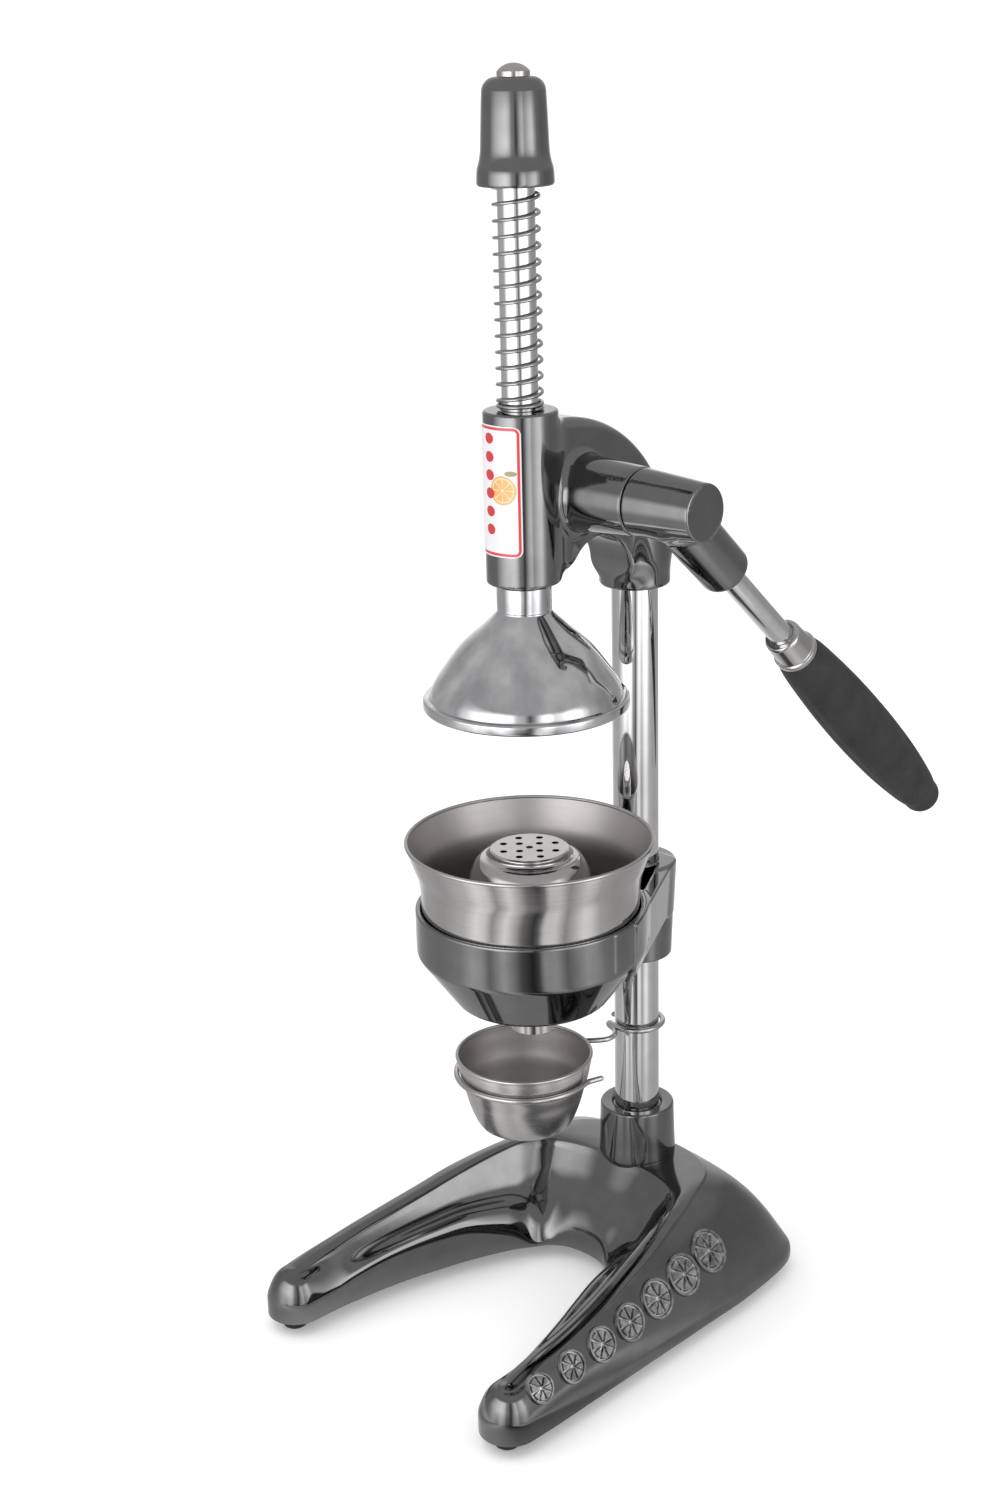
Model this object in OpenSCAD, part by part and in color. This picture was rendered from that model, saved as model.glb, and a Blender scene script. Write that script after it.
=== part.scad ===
// Manual citrus press: a rack ram driven by a lever and pinion, a juice bowl with its reamer,
// and a drip cup on a wire bracket, all carried by one column on a horseshoe base.
// Origin: on the floor, at the middle of the room that the press takes up. +Z up, front to -Y.

/* [Base] */
// Width across the two legs
base_w = 194; // [190:1:200]
// Height of the rubber feet
foot_h = 8; // [6:0.5:9]
// Radius of a rubber foot
foot_r = 7; // [6:0.5:7.5]
// Height of the deck behind the arch
deck_z = 58; // [56:1:60]
// Radius of the round front end of a leg
nose_r = 16; // [15:0.5:17]
// Height of the top of the column socket
socket_top = 88; // [84:1:92]

/* [Column] */
// Outside diameter of the column tube
column_d = 25; // [24:0.5:25]
// Wall of the column tube
column_wall = 1.5; // [1:0.25:2.5]
// Distance between the column axis and the ram axis
reach = 85; // [84:0.5:88]

/* [Head] */
// Outside radius of the ram barrel
barrel_r = 18.8; // [18:0.2:20]
// Bottom of the ram barrel
barrel_low = 410.7; // [408:0.5:412]
// Top of the ram barrel
barrel_top = 497.2; // [495:0.5:500]
// Outside radius of the column boss
boss_r = 18.9; // [18:0.2:20]
// Bottom of the column boss
boss_low = 392.5; // [388:0.5:396]
// Height of the lever shaft
shaft_z = 453.5; // [453:0.5:454]

/* [Rack and pinion] */
// Gear module
gear_m = 1.5; // [1.5:0.1:1.6]
// Teeth on the pinion
teeth = 28; // [26:1:28]
// Travel of the ram
travel = 90; // [60:5:90]

/* [Ram] */
// Diameter of the ram
ram_d = 18.4; // [18:0.2:18.6]
// Bottom edge of the cap
cap_low = 603.5; // [600:0.5:606]
// Bottom edge of the press bell
bell_low = 345.7; // [345:0.5:348]
// Wall of the press bell
bell_wall = 2.5; // [2:0.25:3]
// Wire of the return spring
spring_wire = 1.8; // [1.4:0.2:2]
// Turns of the return spring that show below the cap
spring_turns = 13.25; // [10:0.25:15]

/* [Lever] */
// Plane of the lever, from the middle of the press
lever_x = 71.4; // [71:0.2:72]
// Fall of the lever behind the press at rest
lever_fall = 42.75; // [40:0.25:45]
// Length of the lever from the shaft axis
lever_len = 318; // [315:1:322]
// Radius of the lever rod
rod_r = 6.4; // [6:0.1:6.8]

/* [Bowl] */
// Height of the bowl rim
bowl_rim = 273.5; // [273:0.5:274]
// Sheet of the bowl, the reamer and the cup
sheet = 1.2; // [0.8:0.1:1.3]
// Number of juice slots in the floor of the reamer
floor_holes = 30; // [20:1:34]

/* [Cup] */
// Height of the cup rim
cup_rim = 147.6; // [147:0.2:148]
// Swing of the bracket away from the ram at rest
cup_swing = 5.1; // [0:0.1:8]
// Wire of the cup bracket
wire_d = 3; // [2.6:0.2:3.2]

/* [Hidden] */
$fn = 64;

run_gap = 0.06;      // radial clearance of a running or sliding fit
fix_gap = 0.03;      // radial clearance of a fixed fit
column_y = 14.5;     // column axis behind the origin
column_r = column_d / 2;
ram_r = ram_d / 2;
ram_y = column_y - reach;
pitch_r = gear_m * teeth / 2;
rack_line = 6.5;     // pitch line of the rack behind the ram axis
shaft_back = rack_line + pitch_r;
shaft_y = ram_y + shaft_back;
shaft_r = 7;
seam_x = 54.8;       // joint between the shaft barrel and the lever hub
hub_end = 93.8;
head_half = 14;      // half the width of the gear hood
cover_x = -18.5;     // seat of the gear cover
cover_r = 29.5;
cover_t = 3;
pocket_r = 23.6;
screw_circle = 26.5;
gear_half = 7;       // half the width of the pinion
bush_r = 9.5;
set_r = 3;           // M6 set screw
tube_low = 16;       // bottom of the column tube in its socket
tube_top = 436;
eps = 0.5;           // reach of a cut past the face that it opens
dark = [0.27, 0.27, 0.28];
chrome = [0.8, 0.8, 0.82];
steel = [0.68, 0.67, 0.66];

// ---- curves -------------------------------------------------------------------------------

// Point at t between b and c on the smooth curve through a, b, c and d
function blend4(a, b, c, d, t) =
    0.5 * (2 * b + (c - a) * t + (2 * a - 5 * b + 4 * c - d) * t * t
           + (3 * b - a - 3 * c + d) * t * t * t);

// Smooth open curve through the points, n steps from one to the next
function smooth(p, n) = concat([
    for (i = [0 : len(p) - 2], k = [0 : n - 1])
        blend4(i == 0 ? 2 * p[0] - p[1] : p[i - 1], p[i], p[i + 1],
               i + 2 < len(p) ? p[i + 2] : 2 * p[i + 1] - p[i], k / n)
], [p[len(p) - 1]]);

function flip(p) = [for (i = [len(p) - 1 : -1 : 0]) p[i]];
function unit(v) = v / norm(v);

// The same outline moved sideways by w, to the left of its direction
function beside(p, w) = [
    for (i = [0 : len(p) - 1])
        let (d = unit(p[min(i + 1, len(p) - 1)] - p[max(i - 1, 0)]))
            p[i] + w * [-d[1], d[0]]
];

// Quarter or other arc about c, from angle a0 to a1
function arc(c, r, a0, a1, n = 8) =
    [for (k = [0 : n]) c + r * [cos(a0 + (a1 - a0) * k / n), sin(a0 + (a1 - a0) * k / n)]];

module at_column() { translate([0, column_y, 0]) children(); }
module at_ram() { translate([0, ram_y, 0]) children(); }
module at_shaft() { translate([0, shaft_y, shaft_z]) children(); }
// Local +Z along +X
module along_x() { rotate([90, 0, 90]) children(); }
// Local +Z along the lever, from the shaft axis
module at_lever() {
    translate([lever_x, shaft_y, shaft_z]) rotate([-90 - lever_fall, 0, 0]) children();
}
// Local +Z straight out of the cup's axis
module at_cup() { at_column() rotate([0, 0, -cup_swing]) translate([0, -reach, 0]) children(); }

// Turned piece with a thin wall, w to the left of its outline
module spun_sheet(outline, w) {
    rotate_extrude() polygon(concat(outline, flip(beside(outline, w))));
}

// Socket set screw along +Z with its outer end at 0
module set_screw(length) {
    difference() {
        translate([0, 0, -length]) cylinder(r = set_r, h = length);
        translate([0, 0, -3]) cylinder(r = 1.7, h = 3 + eps, $fn = 6);
    }
}
module set_hole(length) { translate([0, 0, -length]) cylinder(r = set_r + fix_gap, h = length + 12); }

// Round wire along a path, as rings of n sides
module swept(path, r, n) {
    count = len(path);
    ring = [for (i = [0 : count - 1])
        let (d = unit(path[min(i + 1, count - 1)] - path[max(i - 1, 0)]),
             u = unit(cross(d, [0.05, 0.1, 1])),
             v = cross(d, u))
            for (k = [0 : n - 1]) path[i] + r * (cos(360 * k / n) * u + sin(360 * k / n) * v)];
    side = [for (i = [0 : count - 2], k = [0 : n - 1])
        let (a = i * n + k, b = i * n + (k + 1) % n) [a, a + n, b + n, b]];
    tris = [for (q = side, h = [0, 1]) h == 0 ? [q[0], q[1], q[2]] : [q[0], q[2], q[3]]];
    polyhedron(ring, concat(tris, [[for (k = [0 : n - 1]) k]],
        [[for (k = [n - 1 : -1 : 0]) (count - 1) * n + k]]));
}

// ---- base ---------------------------------------------------------------------------------

// Cross-sections of half the horseshoe, from the middle of the rear to the right leg's end.
// Each holds four plan points (inner edge, inner ridge, outer ridge, outer edge), and then the
// height of the ridge, of the inner skirt, and how far the inner and outer slopes bulge up.
side_x = base_w / 2;
edge_z = 13;         // top of the short upright edge round the outside
crest = 1;           // height of the ridge's middle above its edges
leg_z = 34;
nose_top_r = 5;      // half the width of the ridge at the leg's end
nose_bulge = 4.5;
nose_steps = 6;
high = 0.35;         // where the two middle points of a slope lie, down from its ridge
low = 0.7;
nose_y = -193;
nose_x = side_x - nose_r - 0.5;
sections = [
    [[0, -46], [0, -17], [0, 18], [0, 45], [deck_z, 20, -4, 7]],
    [[12, -47.5], [22, -17], [26, 16], [36, 44.5], [deck_z, 20, -4, 8]],
    [[21, -53], [44, -24], [47, 4], [72, 41], [deck_z, 20, -4, 10]],
    [[26.5, -60.5], [54, -36], [58, -20], [90, 26], [deck_z - 0.5, 21, -5, 10]],
    [[34, -72], [59, -52], [67, -46], [side_x - 0.5, -15], [deck_z - 2, 22, -6, 7]],
    [[43.5, -94], [65, -81], [75, -76], [side_x, -58], [51.5, 22, -6, 6]],
    [[50, -113.5], [69, -105], [79, -101], [side_x, -92], [47, 21, -5, 5]],
    [[55.4, -132], [72, -127], [82, -125], [side_x, -120], [43.5, 20, -4, 5]],
    [[59.5, -151], [74, -150], [84, -150], [side_x, -148], [40.5, 18, -3, 5]],
    [[63, -175], [74.5, -175], [85, -175], [side_x, -175], [37.5, 16, -1, 4.5]],
    [[nose_x - nose_r, nose_y], [nose_x - nose_top_r, nose_y], [nose_x + nose_top_r, nose_y],
     [nose_x + nose_r, nose_y], [leg_z, edge_z, nose_bulge, nose_bulge]]
];

function other_hand(s) = [for (i = [0 : 4]) i < 4 ? [-s[i][0], s[i][1]] : s[i]];
function up3(p, z) = [p[0], p[1], z];
function mix(a, b, t) = a + (b - a) * t;

// Outline of one cross-section, from the inner bottom edge over the ridge to the outer one
function section_points(s) = let (h = s[4], rz = h[0], sk = h[1], ci = h[2], co = h[3]) [
    up3(s[0], foot_h),
    up3(s[0], sk),
    up3(mix(s[1], s[0], low), mix(rz, sk, low) + ci),
    up3(mix(s[1], s[0], high), mix(rz, sk, high) + ci),
    up3(s[1], rz - crest),
    up3(mix(s[1], s[2], 0.5), rz),
    up3(s[2], rz - crest),
    up3(mix(s[2], s[3], high), mix(rz, edge_z, high) + co),
    up3(mix(s[2], s[3], low), mix(rz, edge_z, low) + co),
    up3(s[3], edge_z),
    up3(s[3], foot_h)
];

// The same outline at the leg's round end, both halves turned towards the tip by the angle a
nose_outline = [[nose_r, foot_h], [nose_r, edge_z],
    [mix(nose_top_r, nose_r, low), mix(leg_z, edge_z, low) + nose_bulge],
    [mix(nose_top_r, nose_r, high), mix(leg_z, edge_z, high) + nose_bulge],
    [nose_top_r, leg_z - crest], [0, leg_z]];
function nose_points(a) = [for (k = [0 : 10])
    let (p = nose_outline[min(k, 10 - k)])
        [nose_x + (k < 5 ? -1 : 1) * p[0] * cos(a), nose_y - max(p[0], 1) * sin(a), p[1]]];

function smooth_sections(n) = let (last = len(sections) - 1) concat([
    for (i = [0 : last - 1], k = [0 : n - 1])
        let (a = i == 0 ? other_hand(sections[1]) : sections[i - 1], b = sections[i],
             c = sections[i + 1], d = i + 2 <= last ? sections[i + 2] : 2 * c - b)
            [for (j = [0 : 4]) blend4(a[j], b[j], c[j], d[j], k / n)]
], [sections[last]]);

// Right half from the rear to the leg's tip, as outlines; the left half is its mirror image.
// Both halves of the outline meet at a tip, so there they share their points.
module horseshoe() {
    half = smooth_sections(3);
    right = concat([for (i = [0 : len(half) - 2]) section_points(half[i])],
        [for (j = [0 : nose_steps]) nose_points(90 * j / nose_steps)]);
    left = [for (i = [len(right) - 1 : -1 : 1]) [for (p = right[i]) [-p[0], p[1], p[2]]]];
    all = concat(left, right);
    n = len(all[0]);
    last = len(all) - 1;
    function at(i, k) = i * n + (i == 0 || i == last ? min(k, n - 1 - k) : k);
    side = [for (i = [0 : last - 1], k = [0 : n - 1]) let (m = (k + 1) % n)
        [at(i, k), at(i + 1, k), at(i + 1, m), at(i, m)]];
    tris = [for (q = side, h = [0, 1]) h == 0 ? [q[0], q[2], q[1]] : [q[0], q[3], q[2]]];
    polyhedron([for (s = all, p = s) p],
        [for (t = tris) if (t[0] != t[1] && t[1] != t[2] && t[2] != t[0]) t]);
}

// Hollow underside of one leg and half of the rear, below the outer skin
leg_hollow = [[30, -40], [52, -64], [62, -100], [71, -140], [74, -178], [86, -178], [88, -120],
              [88, -20], [60, 2], [30, 2]];

socket_outline = concat(
    [[0, 30], [22, 30], [21.5, deck_z], [20.6, socket_top - 6]],
    arc([16.2, socket_top - 4.4], 4.4, 0, 90, 6),
    [[14.5, socket_top], [14.5, socket_top - 2.5], [0, socket_top - 2.5]]);

module base_casting() {
    color(dark) at_column() difference() {
        union() {
            horseshoe();
            rotate_extrude() polygon(socket_outline);
        }
        difference() {
            union() {
                for (side = [0, 1]) mirror([side, 0, 0])
                    translate([0, 0, foot_h - eps]) linear_extrude(12 + eps) polygon(leg_hollow);
                translate([-44, -8, foot_h - eps]) cube([88, 26, 34 + eps]);
            }
            translate([0, 0, foot_h - 2 * eps]) cylinder(r = 20, h = 60);
            for (p = foot_places) translate([p[0], p[1], 0]) cylinder(r = 10, h = 60);
        }
        translate([0, 0, tube_low]) cylinder(r = column_r + fix_gap, h = 100);
        for (p = foot_places) translate([p[0], p[1], 0]) cylinder(r = 2 + fix_gap, h = foot_h + 9);
        translate([0, 0, 74]) rotate([-90, 0, 0]) translate([0, 0, 18.5]) set_hole(8);
    }
}

foot_places = [[80.4, -195], [-80.4, -195], [66, 12], [-66, 12]];

module rubber_feet() {
    recess = 3;
    color([0.1, 0.1, 0.1]) at_column() for (p = foot_places) translate([p[0], p[1], 0])
        difference() {
            rotate_extrude() polygon(concat([[0, foot_h], [0, 0]],
                arc([foot_r - 1.5, 1], 1, -90, 0, 4), [[foot_r, foot_h]]));
            translate([0, 0, -eps]) cylinder(r = 2 + run_gap, h = foot_h + 2 * eps);
            translate([0, 0, -eps]) cylinder(r = 3.9, h = recess + eps);
        }
}

module foot_screws() {
    color(steel) at_column() for (p = foot_places) translate([p[0], p[1], 1]) {
        difference() {
            cylinder(r = 3.7, h = 2);
            translate([0, 0, -eps]) cylinder(r = 1.2, h = 1 + eps, $fn = 4);
        }
        cylinder(r = 2, h = foot_h + 7);
    }
}

module column_tube() {
    color(chrome) at_column() difference() {
        translate([0, 0, tube_low]) cylinder(r = column_r, h = tube_top - tube_low);
        translate([0, 0, tube_low - eps])
            cylinder(r = column_r - column_wall, h = tube_top - tube_low + 2 * eps);
    }
}

module rear_set_screw(z, out) {
    color(dark) at_column() translate([0, 0, z]) rotate([-90, 0, 0]) translate([0, 0, out])
        set_screw(out - column_r - 0.1);
}
module socket_set_screw() { rear_set_screw(74, 19.5); }
module head_set_screw() { rear_set_screw(408, 18); }
module holder_set_screw() { rear_set_screw(205, 18.5); }

// ---- head ---------------------------------------------------------------------------------

hood_r = 84;         // radius of the hood's back
hood_y = -67;        // centre of that radius, from the column
hood_z = 406.6;
arch_r = 23;         // arch between the barrel and the boss
arch_y = -42.5;
arch_z = 405;

module hood() {
    round_r = 6;
    intersection() {
        translate([-head_half, hood_y, hood_z]) along_x() rotate_extrude($fn = 128)
            polygon(concat([[0, 0]], arc([hood_r - round_r, round_r], round_r, -90, 0, 5),
                arc([hood_r - round_r, 2 * head_half - round_r], round_r, 0, 90, 5),
                [[0, 2 * head_half]]));
        translate([-head_half, 0, 0]) along_x() linear_extrude(2 * head_half) polygon([
            [-reach, 414], [-reach, 500], [30, 500], [30, 428], [6, 402], [-10, 400],
            [-19.5, 404], [-21, 414]]);
    }
}

module head_body() {
    translate([0, -reach, 0]) rotate_extrude() polygon(concat([[0, barrel_low]],
        arc([barrel_r - 2.5, barrel_low + 2.5], 2.5, -90, 0, 5),
        arc([barrel_r - 1, barrel_top - 1], 1, 0, 90, 3), [[0, barrel_top]]));
    rotate_extrude() polygon(concat([[0, boss_low]],
        arc([boss_r - 2.5, boss_low + 2.5], 2.5, -90, 0, 5),
        arc([boss_r - 9, tube_top], 9, 0, 90, 6), [[0, tube_top + 9]]));
    hood();
    // Shaft barrel, and the round pad under the gear cover
    translate([0, shaft_back - reach, shaft_z]) along_x() {
        rotate_extrude() polygon([[0, 0], [19.2, 0], [19.2, 15], [17.9, seam_x - 1.8],
            [17.2, seam_x - 0.5], [0, seam_x - 0.5]]);
        translate([0, 0, cover_x]) cylinder(r = cover_r, h = -cover_x);
    }
}

module head_casting() {
    color(dark) at_column() difference() {
        head_body();
        translate([-40, arch_y, arch_z]) along_x() cylinder(r = arch_r, h = 40 + head_half + eps);
        translate([-40, arch_y - arch_r, arch_z - 40]) cube([40 + head_half + eps, 2 * arch_r, 40]);
        translate([0, 0, boss_low - eps])
            cylinder(r = column_r + fix_gap, h = tube_top + 0.5 - boss_low + eps);
        translate([0, -reach, barrel_low - eps])
            cylinder(r = ram_r + run_gap, h = barrel_top - barrel_low + 2 * eps);
        translate([0, shaft_back - reach, shaft_z]) along_x() {
            translate([0, 0, cover_x - 5]) cylinder(r = cover_r + 0.5, h = 5);
            translate([0, 0, cover_x - eps]) cylinder(r = pocket_r, h = gear_half + 0.5 - cover_x + eps);
            cylinder(r = bush_r + fix_gap, h = seam_x);
            for (a = [45 : 90 : 315]) rotate([0, 0, a]) translate([screw_circle, 0, cover_x - eps])
                cylinder(r = 1.5 + fix_gap, h = 10 + eps, $fn = 24);
        }
        translate([0, 0, 408]) rotate([-90, 0, 0]) translate([0, 0, 18.5]) set_hole(8);
    }
}

module shaft_bush() {
    color([0.72, 0.53, 0.3]) at_shaft() along_x() difference() {
        translate([0, 0, gear_half + 1]) cylinder(r = bush_r, h = seam_x - gear_half - 1.6);
        translate([0, 0, gear_half]) cylinder(r = shaft_r + run_gap, h = seam_x);
    }
}

module gear_cover() {
    boss_t = 5.5;
    color(dark) at_shaft() along_x() translate([0, 0, cover_x - cover_t]) difference() {
        union() {
            rotate_extrude() polygon(concat([[0, cover_t], [0, 0]],
                arc([cover_r - 1.5, 1.5], 1.5, -90, 0, 4), [[cover_r, cover_t]]));
            translate([0, 0, -boss_t]) cylinder(r1 = 10.5, r2 = 12, h = boss_t);
        }
        translate([0, 0, 2 - boss_t]) cylinder(r = shaft_r + run_gap, h = boss_t + cover_t);
        for (a = [45 : 90 : 315]) rotate([0, 0, a]) translate([screw_circle, 0, 0]) {
            translate([0, 0, -eps]) cylinder(r = 1.5 + run_gap, h = cover_t + 2 * eps, $fn = 24);
            translate([0, 0, -eps]) cylinder(r1 = 3 + run_gap + eps, r2 = 1.5, h = 1.5 + eps, $fn = 24);
        }
    }
}

module cover_screws() {
    color(steel) at_shaft() along_x() for (a = [45 : 90 : 315]) rotate([0, 0, a])
        translate([screw_circle, 0, cover_x - cover_t]) difference() {
            union() {
                cylinder(r1 = 2.9, r2 = 1.5, h = 1.4, $fn = 24);
                cylinder(r = 1.5, h = cover_t + 8, $fn = 24);
            }
            translate([0, 0, -eps]) cylinder(r = 1, h = 0.8 + eps, $fn = 4);
        }
}

module front_label() {
    low = 427;
    high = 492;
    half_angle = 43.5;
    sticker = 0.2;
    gap = 0.02;
    color([0.95, 0.95, 0.95]) at_ram() translate([0, 0, low])
        rotate([0, 0, -90 - half_angle]) rotate_extrude(angle = 2 * half_angle)
            translate([barrel_r + gap, 0]) square([sticker, high - low]);
}

// Closed coils at the bottom, open turns above them, up into the hollow cap
module return_spring() {
    mid_r = 11;
    sides = 6;
    steps = 16;
    closed = 1.5;
    open = spring_turns + 5;
    pitch = (cap_low - barrel_top - 2 * spring_wire) / spring_turns;
    start = barrel_top + spring_wire / 2 + 0.1;
    count = round((closed + open) * steps);
    color(chrome) at_ram() swept([for (i = [0 : count])
        let (t = i / steps)
            [mid_r * cos(360 * t), mid_r * sin(360 * t),
             start + (t < closed ? t * spring_wire * 1.02
                      : closed * spring_wire * 1.02 + (t - closed) * pitch)]], spring_wire / 2, sides);
}

// ---- ram ----------------------------------------------------------------------------------

neck_top = barrel_low - 0.5;
ram_low = neck_top - 14;
cap_roof = cap_low + 40;
cap_seat = cap_low + 49.5;
stud_r = 4.9;
rack_pitch = PI * gear_m;
backlash = 0.3;

// Groove of the rack between two teeth, in the plane across the ram
module rack_groove() {
    half = rack_pitch / 4 + backlash / 2;
    slope = tan(20);
    over = 4;
    deep = 1.25 * gear_m;
    polygon([[rack_line - deep, -half + slope * deep], [rack_line - deep, half - slope * deep],
             [rack_line + over, half + slope * over], [rack_line + over, -half - slope * over]]);
}

module ram_rod() {
    first = -3;
    last = ceil(travel / rack_pitch) + 3;
    color(chrome) at_ram() difference() {
        union() {
            translate([0, 0, ram_low]) cylinder(r = ram_r, h = cap_roof - 0.1 - ram_low);
            translate([0, 0, ram_low]) cylinder(r = stud_r, h = cap_seat + 3.6 - ram_low);
        }
        // Flat on the rear over the length of the rack
        translate([-ram_r, rack_line + gear_m, shaft_z + (first - 1) * rack_pitch])
            cube([ram_d, ram_r, (last - first + 2) * rack_pitch]);
        for (i = [first : last]) translate([-ram_r - 1, 0, shaft_z + i * rack_pitch])
            along_x() linear_extrude(ram_d + 2) rack_groove();
        translate([0, 0, ram_low - eps]) cylinder(r = 4 + fix_gap, h = 20);
    }
}

module ram_cap() {
    outside = concat(
        [[14.4, cap_low]], [[18.4, cap_low], [18.75, cap_low + 0.5]],
        smooth([[18.75, cap_low + 2], [18.4, cap_low + 7.5], [17.3, cap_low + 11.7],
                [16.6, cap_low + 16.2], [16.2, cap_low + 25], [15.6, cap_low + 38]], 3),
        arc([8.4, cap_seat - 7], 7, 5, 90, 8));
    color(dark) at_ram() difference() {
        rotate_extrude() polygon(concat([[0, cap_low]], outside, [[0, cap_seat]]));
        translate([0, 0, cap_low - eps]) cylinder(r1 = 14.4, r2 = 13, h = cap_roof - cap_low + eps);
        translate([0, 0, cap_low]) cylinder(r = stud_r + fix_gap, h = 60);
    }
}

module cap_nut() {
    color(chrome) at_ram() translate([0, 0, cap_seat + 0.1]) difference() {
        rotate_extrude() polygon(concat([[0, 0], [8, 0]], arc([0, -4.32], 10.32, 39.2, 90, 8)));
        translate([0, 0, -eps]) cylinder(r = stud_r + fix_gap, h = 3.8 + eps);
    }
}

bell_outside = smooth([[14, neck_top - 13], [14.6, neck_top - 15.2], [21.3, neck_top - 21.7],
    [28, neck_top - 27.6], [33.5, neck_top - 32.9], [37.5, neck_top - 37.8],
    [41.2, neck_top - 43], [45, neck_top - 48.4], [48.2, neck_top - 54.2],
    [49.2, bell_low + 6.6]], 3);

module press_bell() {
    rim = 52.8;
    inside = beside(bell_outside, -bell_wall);
    color(chrome) at_ram() difference() {
        rotate_extrude() polygon(concat([[0, neck_top]], [[13, neck_top], [14, neck_top - 1]],
            bell_outside, [[rim, bell_low + 5.6], [rim, bell_low + 0.8], [rim - 0.8, bell_low],
            [rim - 2.6, bell_low], [rim - 3.6, bell_low + 3]],
            flip([for (p = inside) if (p[0] > 17 && p[1] > bell_low + 7) p]), [[0, 387.6]]));
        translate([0, 0, ram_low]) cylinder(r = ram_r + fix_gap, h = 60);
        translate([0, 0, 380]) cylinder(r = 4 + fix_gap, h = 60);
    }
}

module bell_screw() {
    head_low = 384.2;
    color(steel) at_ram() difference() {
        union() {
            translate([0, 0, head_low]) cylinder(r = 7, h = 3.3);
            translate([0, 0, head_low]) cylinder(r = 4, h = ram_low + 16 - head_low);
        }
        translate([0, 0, head_low - eps]) cylinder(r = 2.6, h = 2 + eps, $fn = 6);
    }
}

// ---- lever --------------------------------------------------------------------------------

function involute(base, r) = let (a = sqrt(max(0, (r / base) ^ 2 - 1))) a * 180 / PI - atan(a);

// One tooth on +X, with involute flanks
module tooth() {
    base = pitch_r * cos(20);
    root = pitch_r - 1.25 * gear_m;
    tip = pitch_r + gear_m - 0.05;
    half = 90 / teeth - (backlash / 4) / pitch_r * 180 / PI + involute(base, pitch_r);
    radii = [for (k = [0 : 5]) base + (tip - base) * k / 5];
    up = [for (r = radii) r * [cos(half - involute(base, r)), sin(half - involute(base, r))]];
    polygon(concat([[root - 1, 0], (root - 1) * [cos(half), sin(half)]], up,
        flip([for (p = up) [p[0], -p[1]]]), [(root - 1) * [cos(half), -sin(half)]]));
}

module pinion_gear() {
    color(steel) at_shaft() along_x() difference() {
        union() {
            translate([0, 0, -gear_half]) cylinder(r = pitch_r - 1.25 * gear_m, h = 2 * gear_half);
            for (i = [0 : teeth - 1]) rotate([0, 0, 180 + i * 360 / teeth])
                translate([0, 0, -gear_half]) linear_extrude(2 * gear_half) tooth();
        }
        translate([0, 0, -gear_half - eps]) cylinder(r = shaft_r + run_gap, h = 2 * gear_half + 1);
        translate([-key_w / 2 - fix_gap, 0, -gear_half - eps])
            cube([key_w + 2 * fix_gap, shaft_r + 1.8, 2 * gear_half + 1]);
    }
}

key_w = 4;
key_deep = 2.5;

module pinion_shaft() {
    low = cover_x - 5;
    high = hub_end - 6;
    color(steel) at_shaft() along_x() difference() {
        translate([0, 0, low]) cylinder(r = shaft_r, h = high - low);
        translate([-key_w / 2 - fix_gap, shaft_r - key_deep, -gear_half])
            cube([key_w + 2 * fix_gap, 5, 2 * gear_half]);
        // Groove of the retaining ring
        translate([0, 0, -10.4]) difference() {
            cylinder(r = 8, h = 1.4);
            translate([0, 0, -eps]) cylinder(r = 6.2, h = 2.4);
        }
        // Flat under the hub's set screw
        rotate([0, 0, -120]) translate([shaft_r - 0.8, -5, seam_x + 6]) cube([3, 10, 12]);
    }
}

module gear_key() {
    color(steel) at_shaft() along_x()
        translate([-key_w / 2, shaft_r - key_deep + 0.05, -gear_half + 0.5])
            cube([key_w, key_deep + 1.6, 2 * gear_half - 1]);
}

module shaft_clip() {
    color(steel) at_shaft() along_x() translate([0, 0, -10.25]) difference() {
        cylinder(r = 10, h = 1.1);
        translate([0, 0, -eps]) cylinder(r = 6.3, h = 3);
        translate([-2.5, 0, -eps]) cube([5, 12, 3]);
    }
}

boss_end = 61;       // end of the lever boss, along the lever
rod_start = 22;
grip_start = 143;
ferrule_start = 124;

module lever_hub() {
    color(dark) difference() {
        union() {
            at_shaft() along_x() rotate_extrude() polygon(concat(
                [[0, seam_x], [16.4, seam_x], [17, seam_x + 0.6]],
                arc([13.2, hub_end - 1.2], 1.2, 10, 90, 4), [[0, hub_end]]));
            at_lever() rotate_extrude() polygon(concat([[0, 0], [13.8, 0], [13.3, boss_end - 5]],
                arc([9.3, boss_end - 4], 4, 0, 90, 5), [[0, boss_end]]));
        }
        at_shaft() along_x() translate([0, 0, seam_x - eps])
            cylinder(r = shaft_r + fix_gap, h = hub_end - 5.4 - seam_x);
        at_lever() translate([0, 0, rod_start - 1]) cylinder(r = rod_r + fix_gap, h = boss_end);
        at_shaft() along_x() translate([0, 0, seam_x + 12]) rotate([0, 90, -120])
            translate([0, 0, 15]) set_hole(9);
    }
}

module hub_set_screw() {
    color(dark) at_shaft() along_x() translate([0, 0, seam_x + 12]) rotate([0, 90, -120])
        translate([0, 0, 15]) set_screw(15 - shaft_r + 0.6);
}

module lever_rod() {
    thread_r = 5;
    color(chrome) at_lever() {
        translate([0, 0, rod_start]) cylinder(r = rod_r, h = grip_start - rod_start);
        translate([0, 0, grip_start - 1]) cylinder(r = thread_r, h = 150);
    }
}

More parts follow.
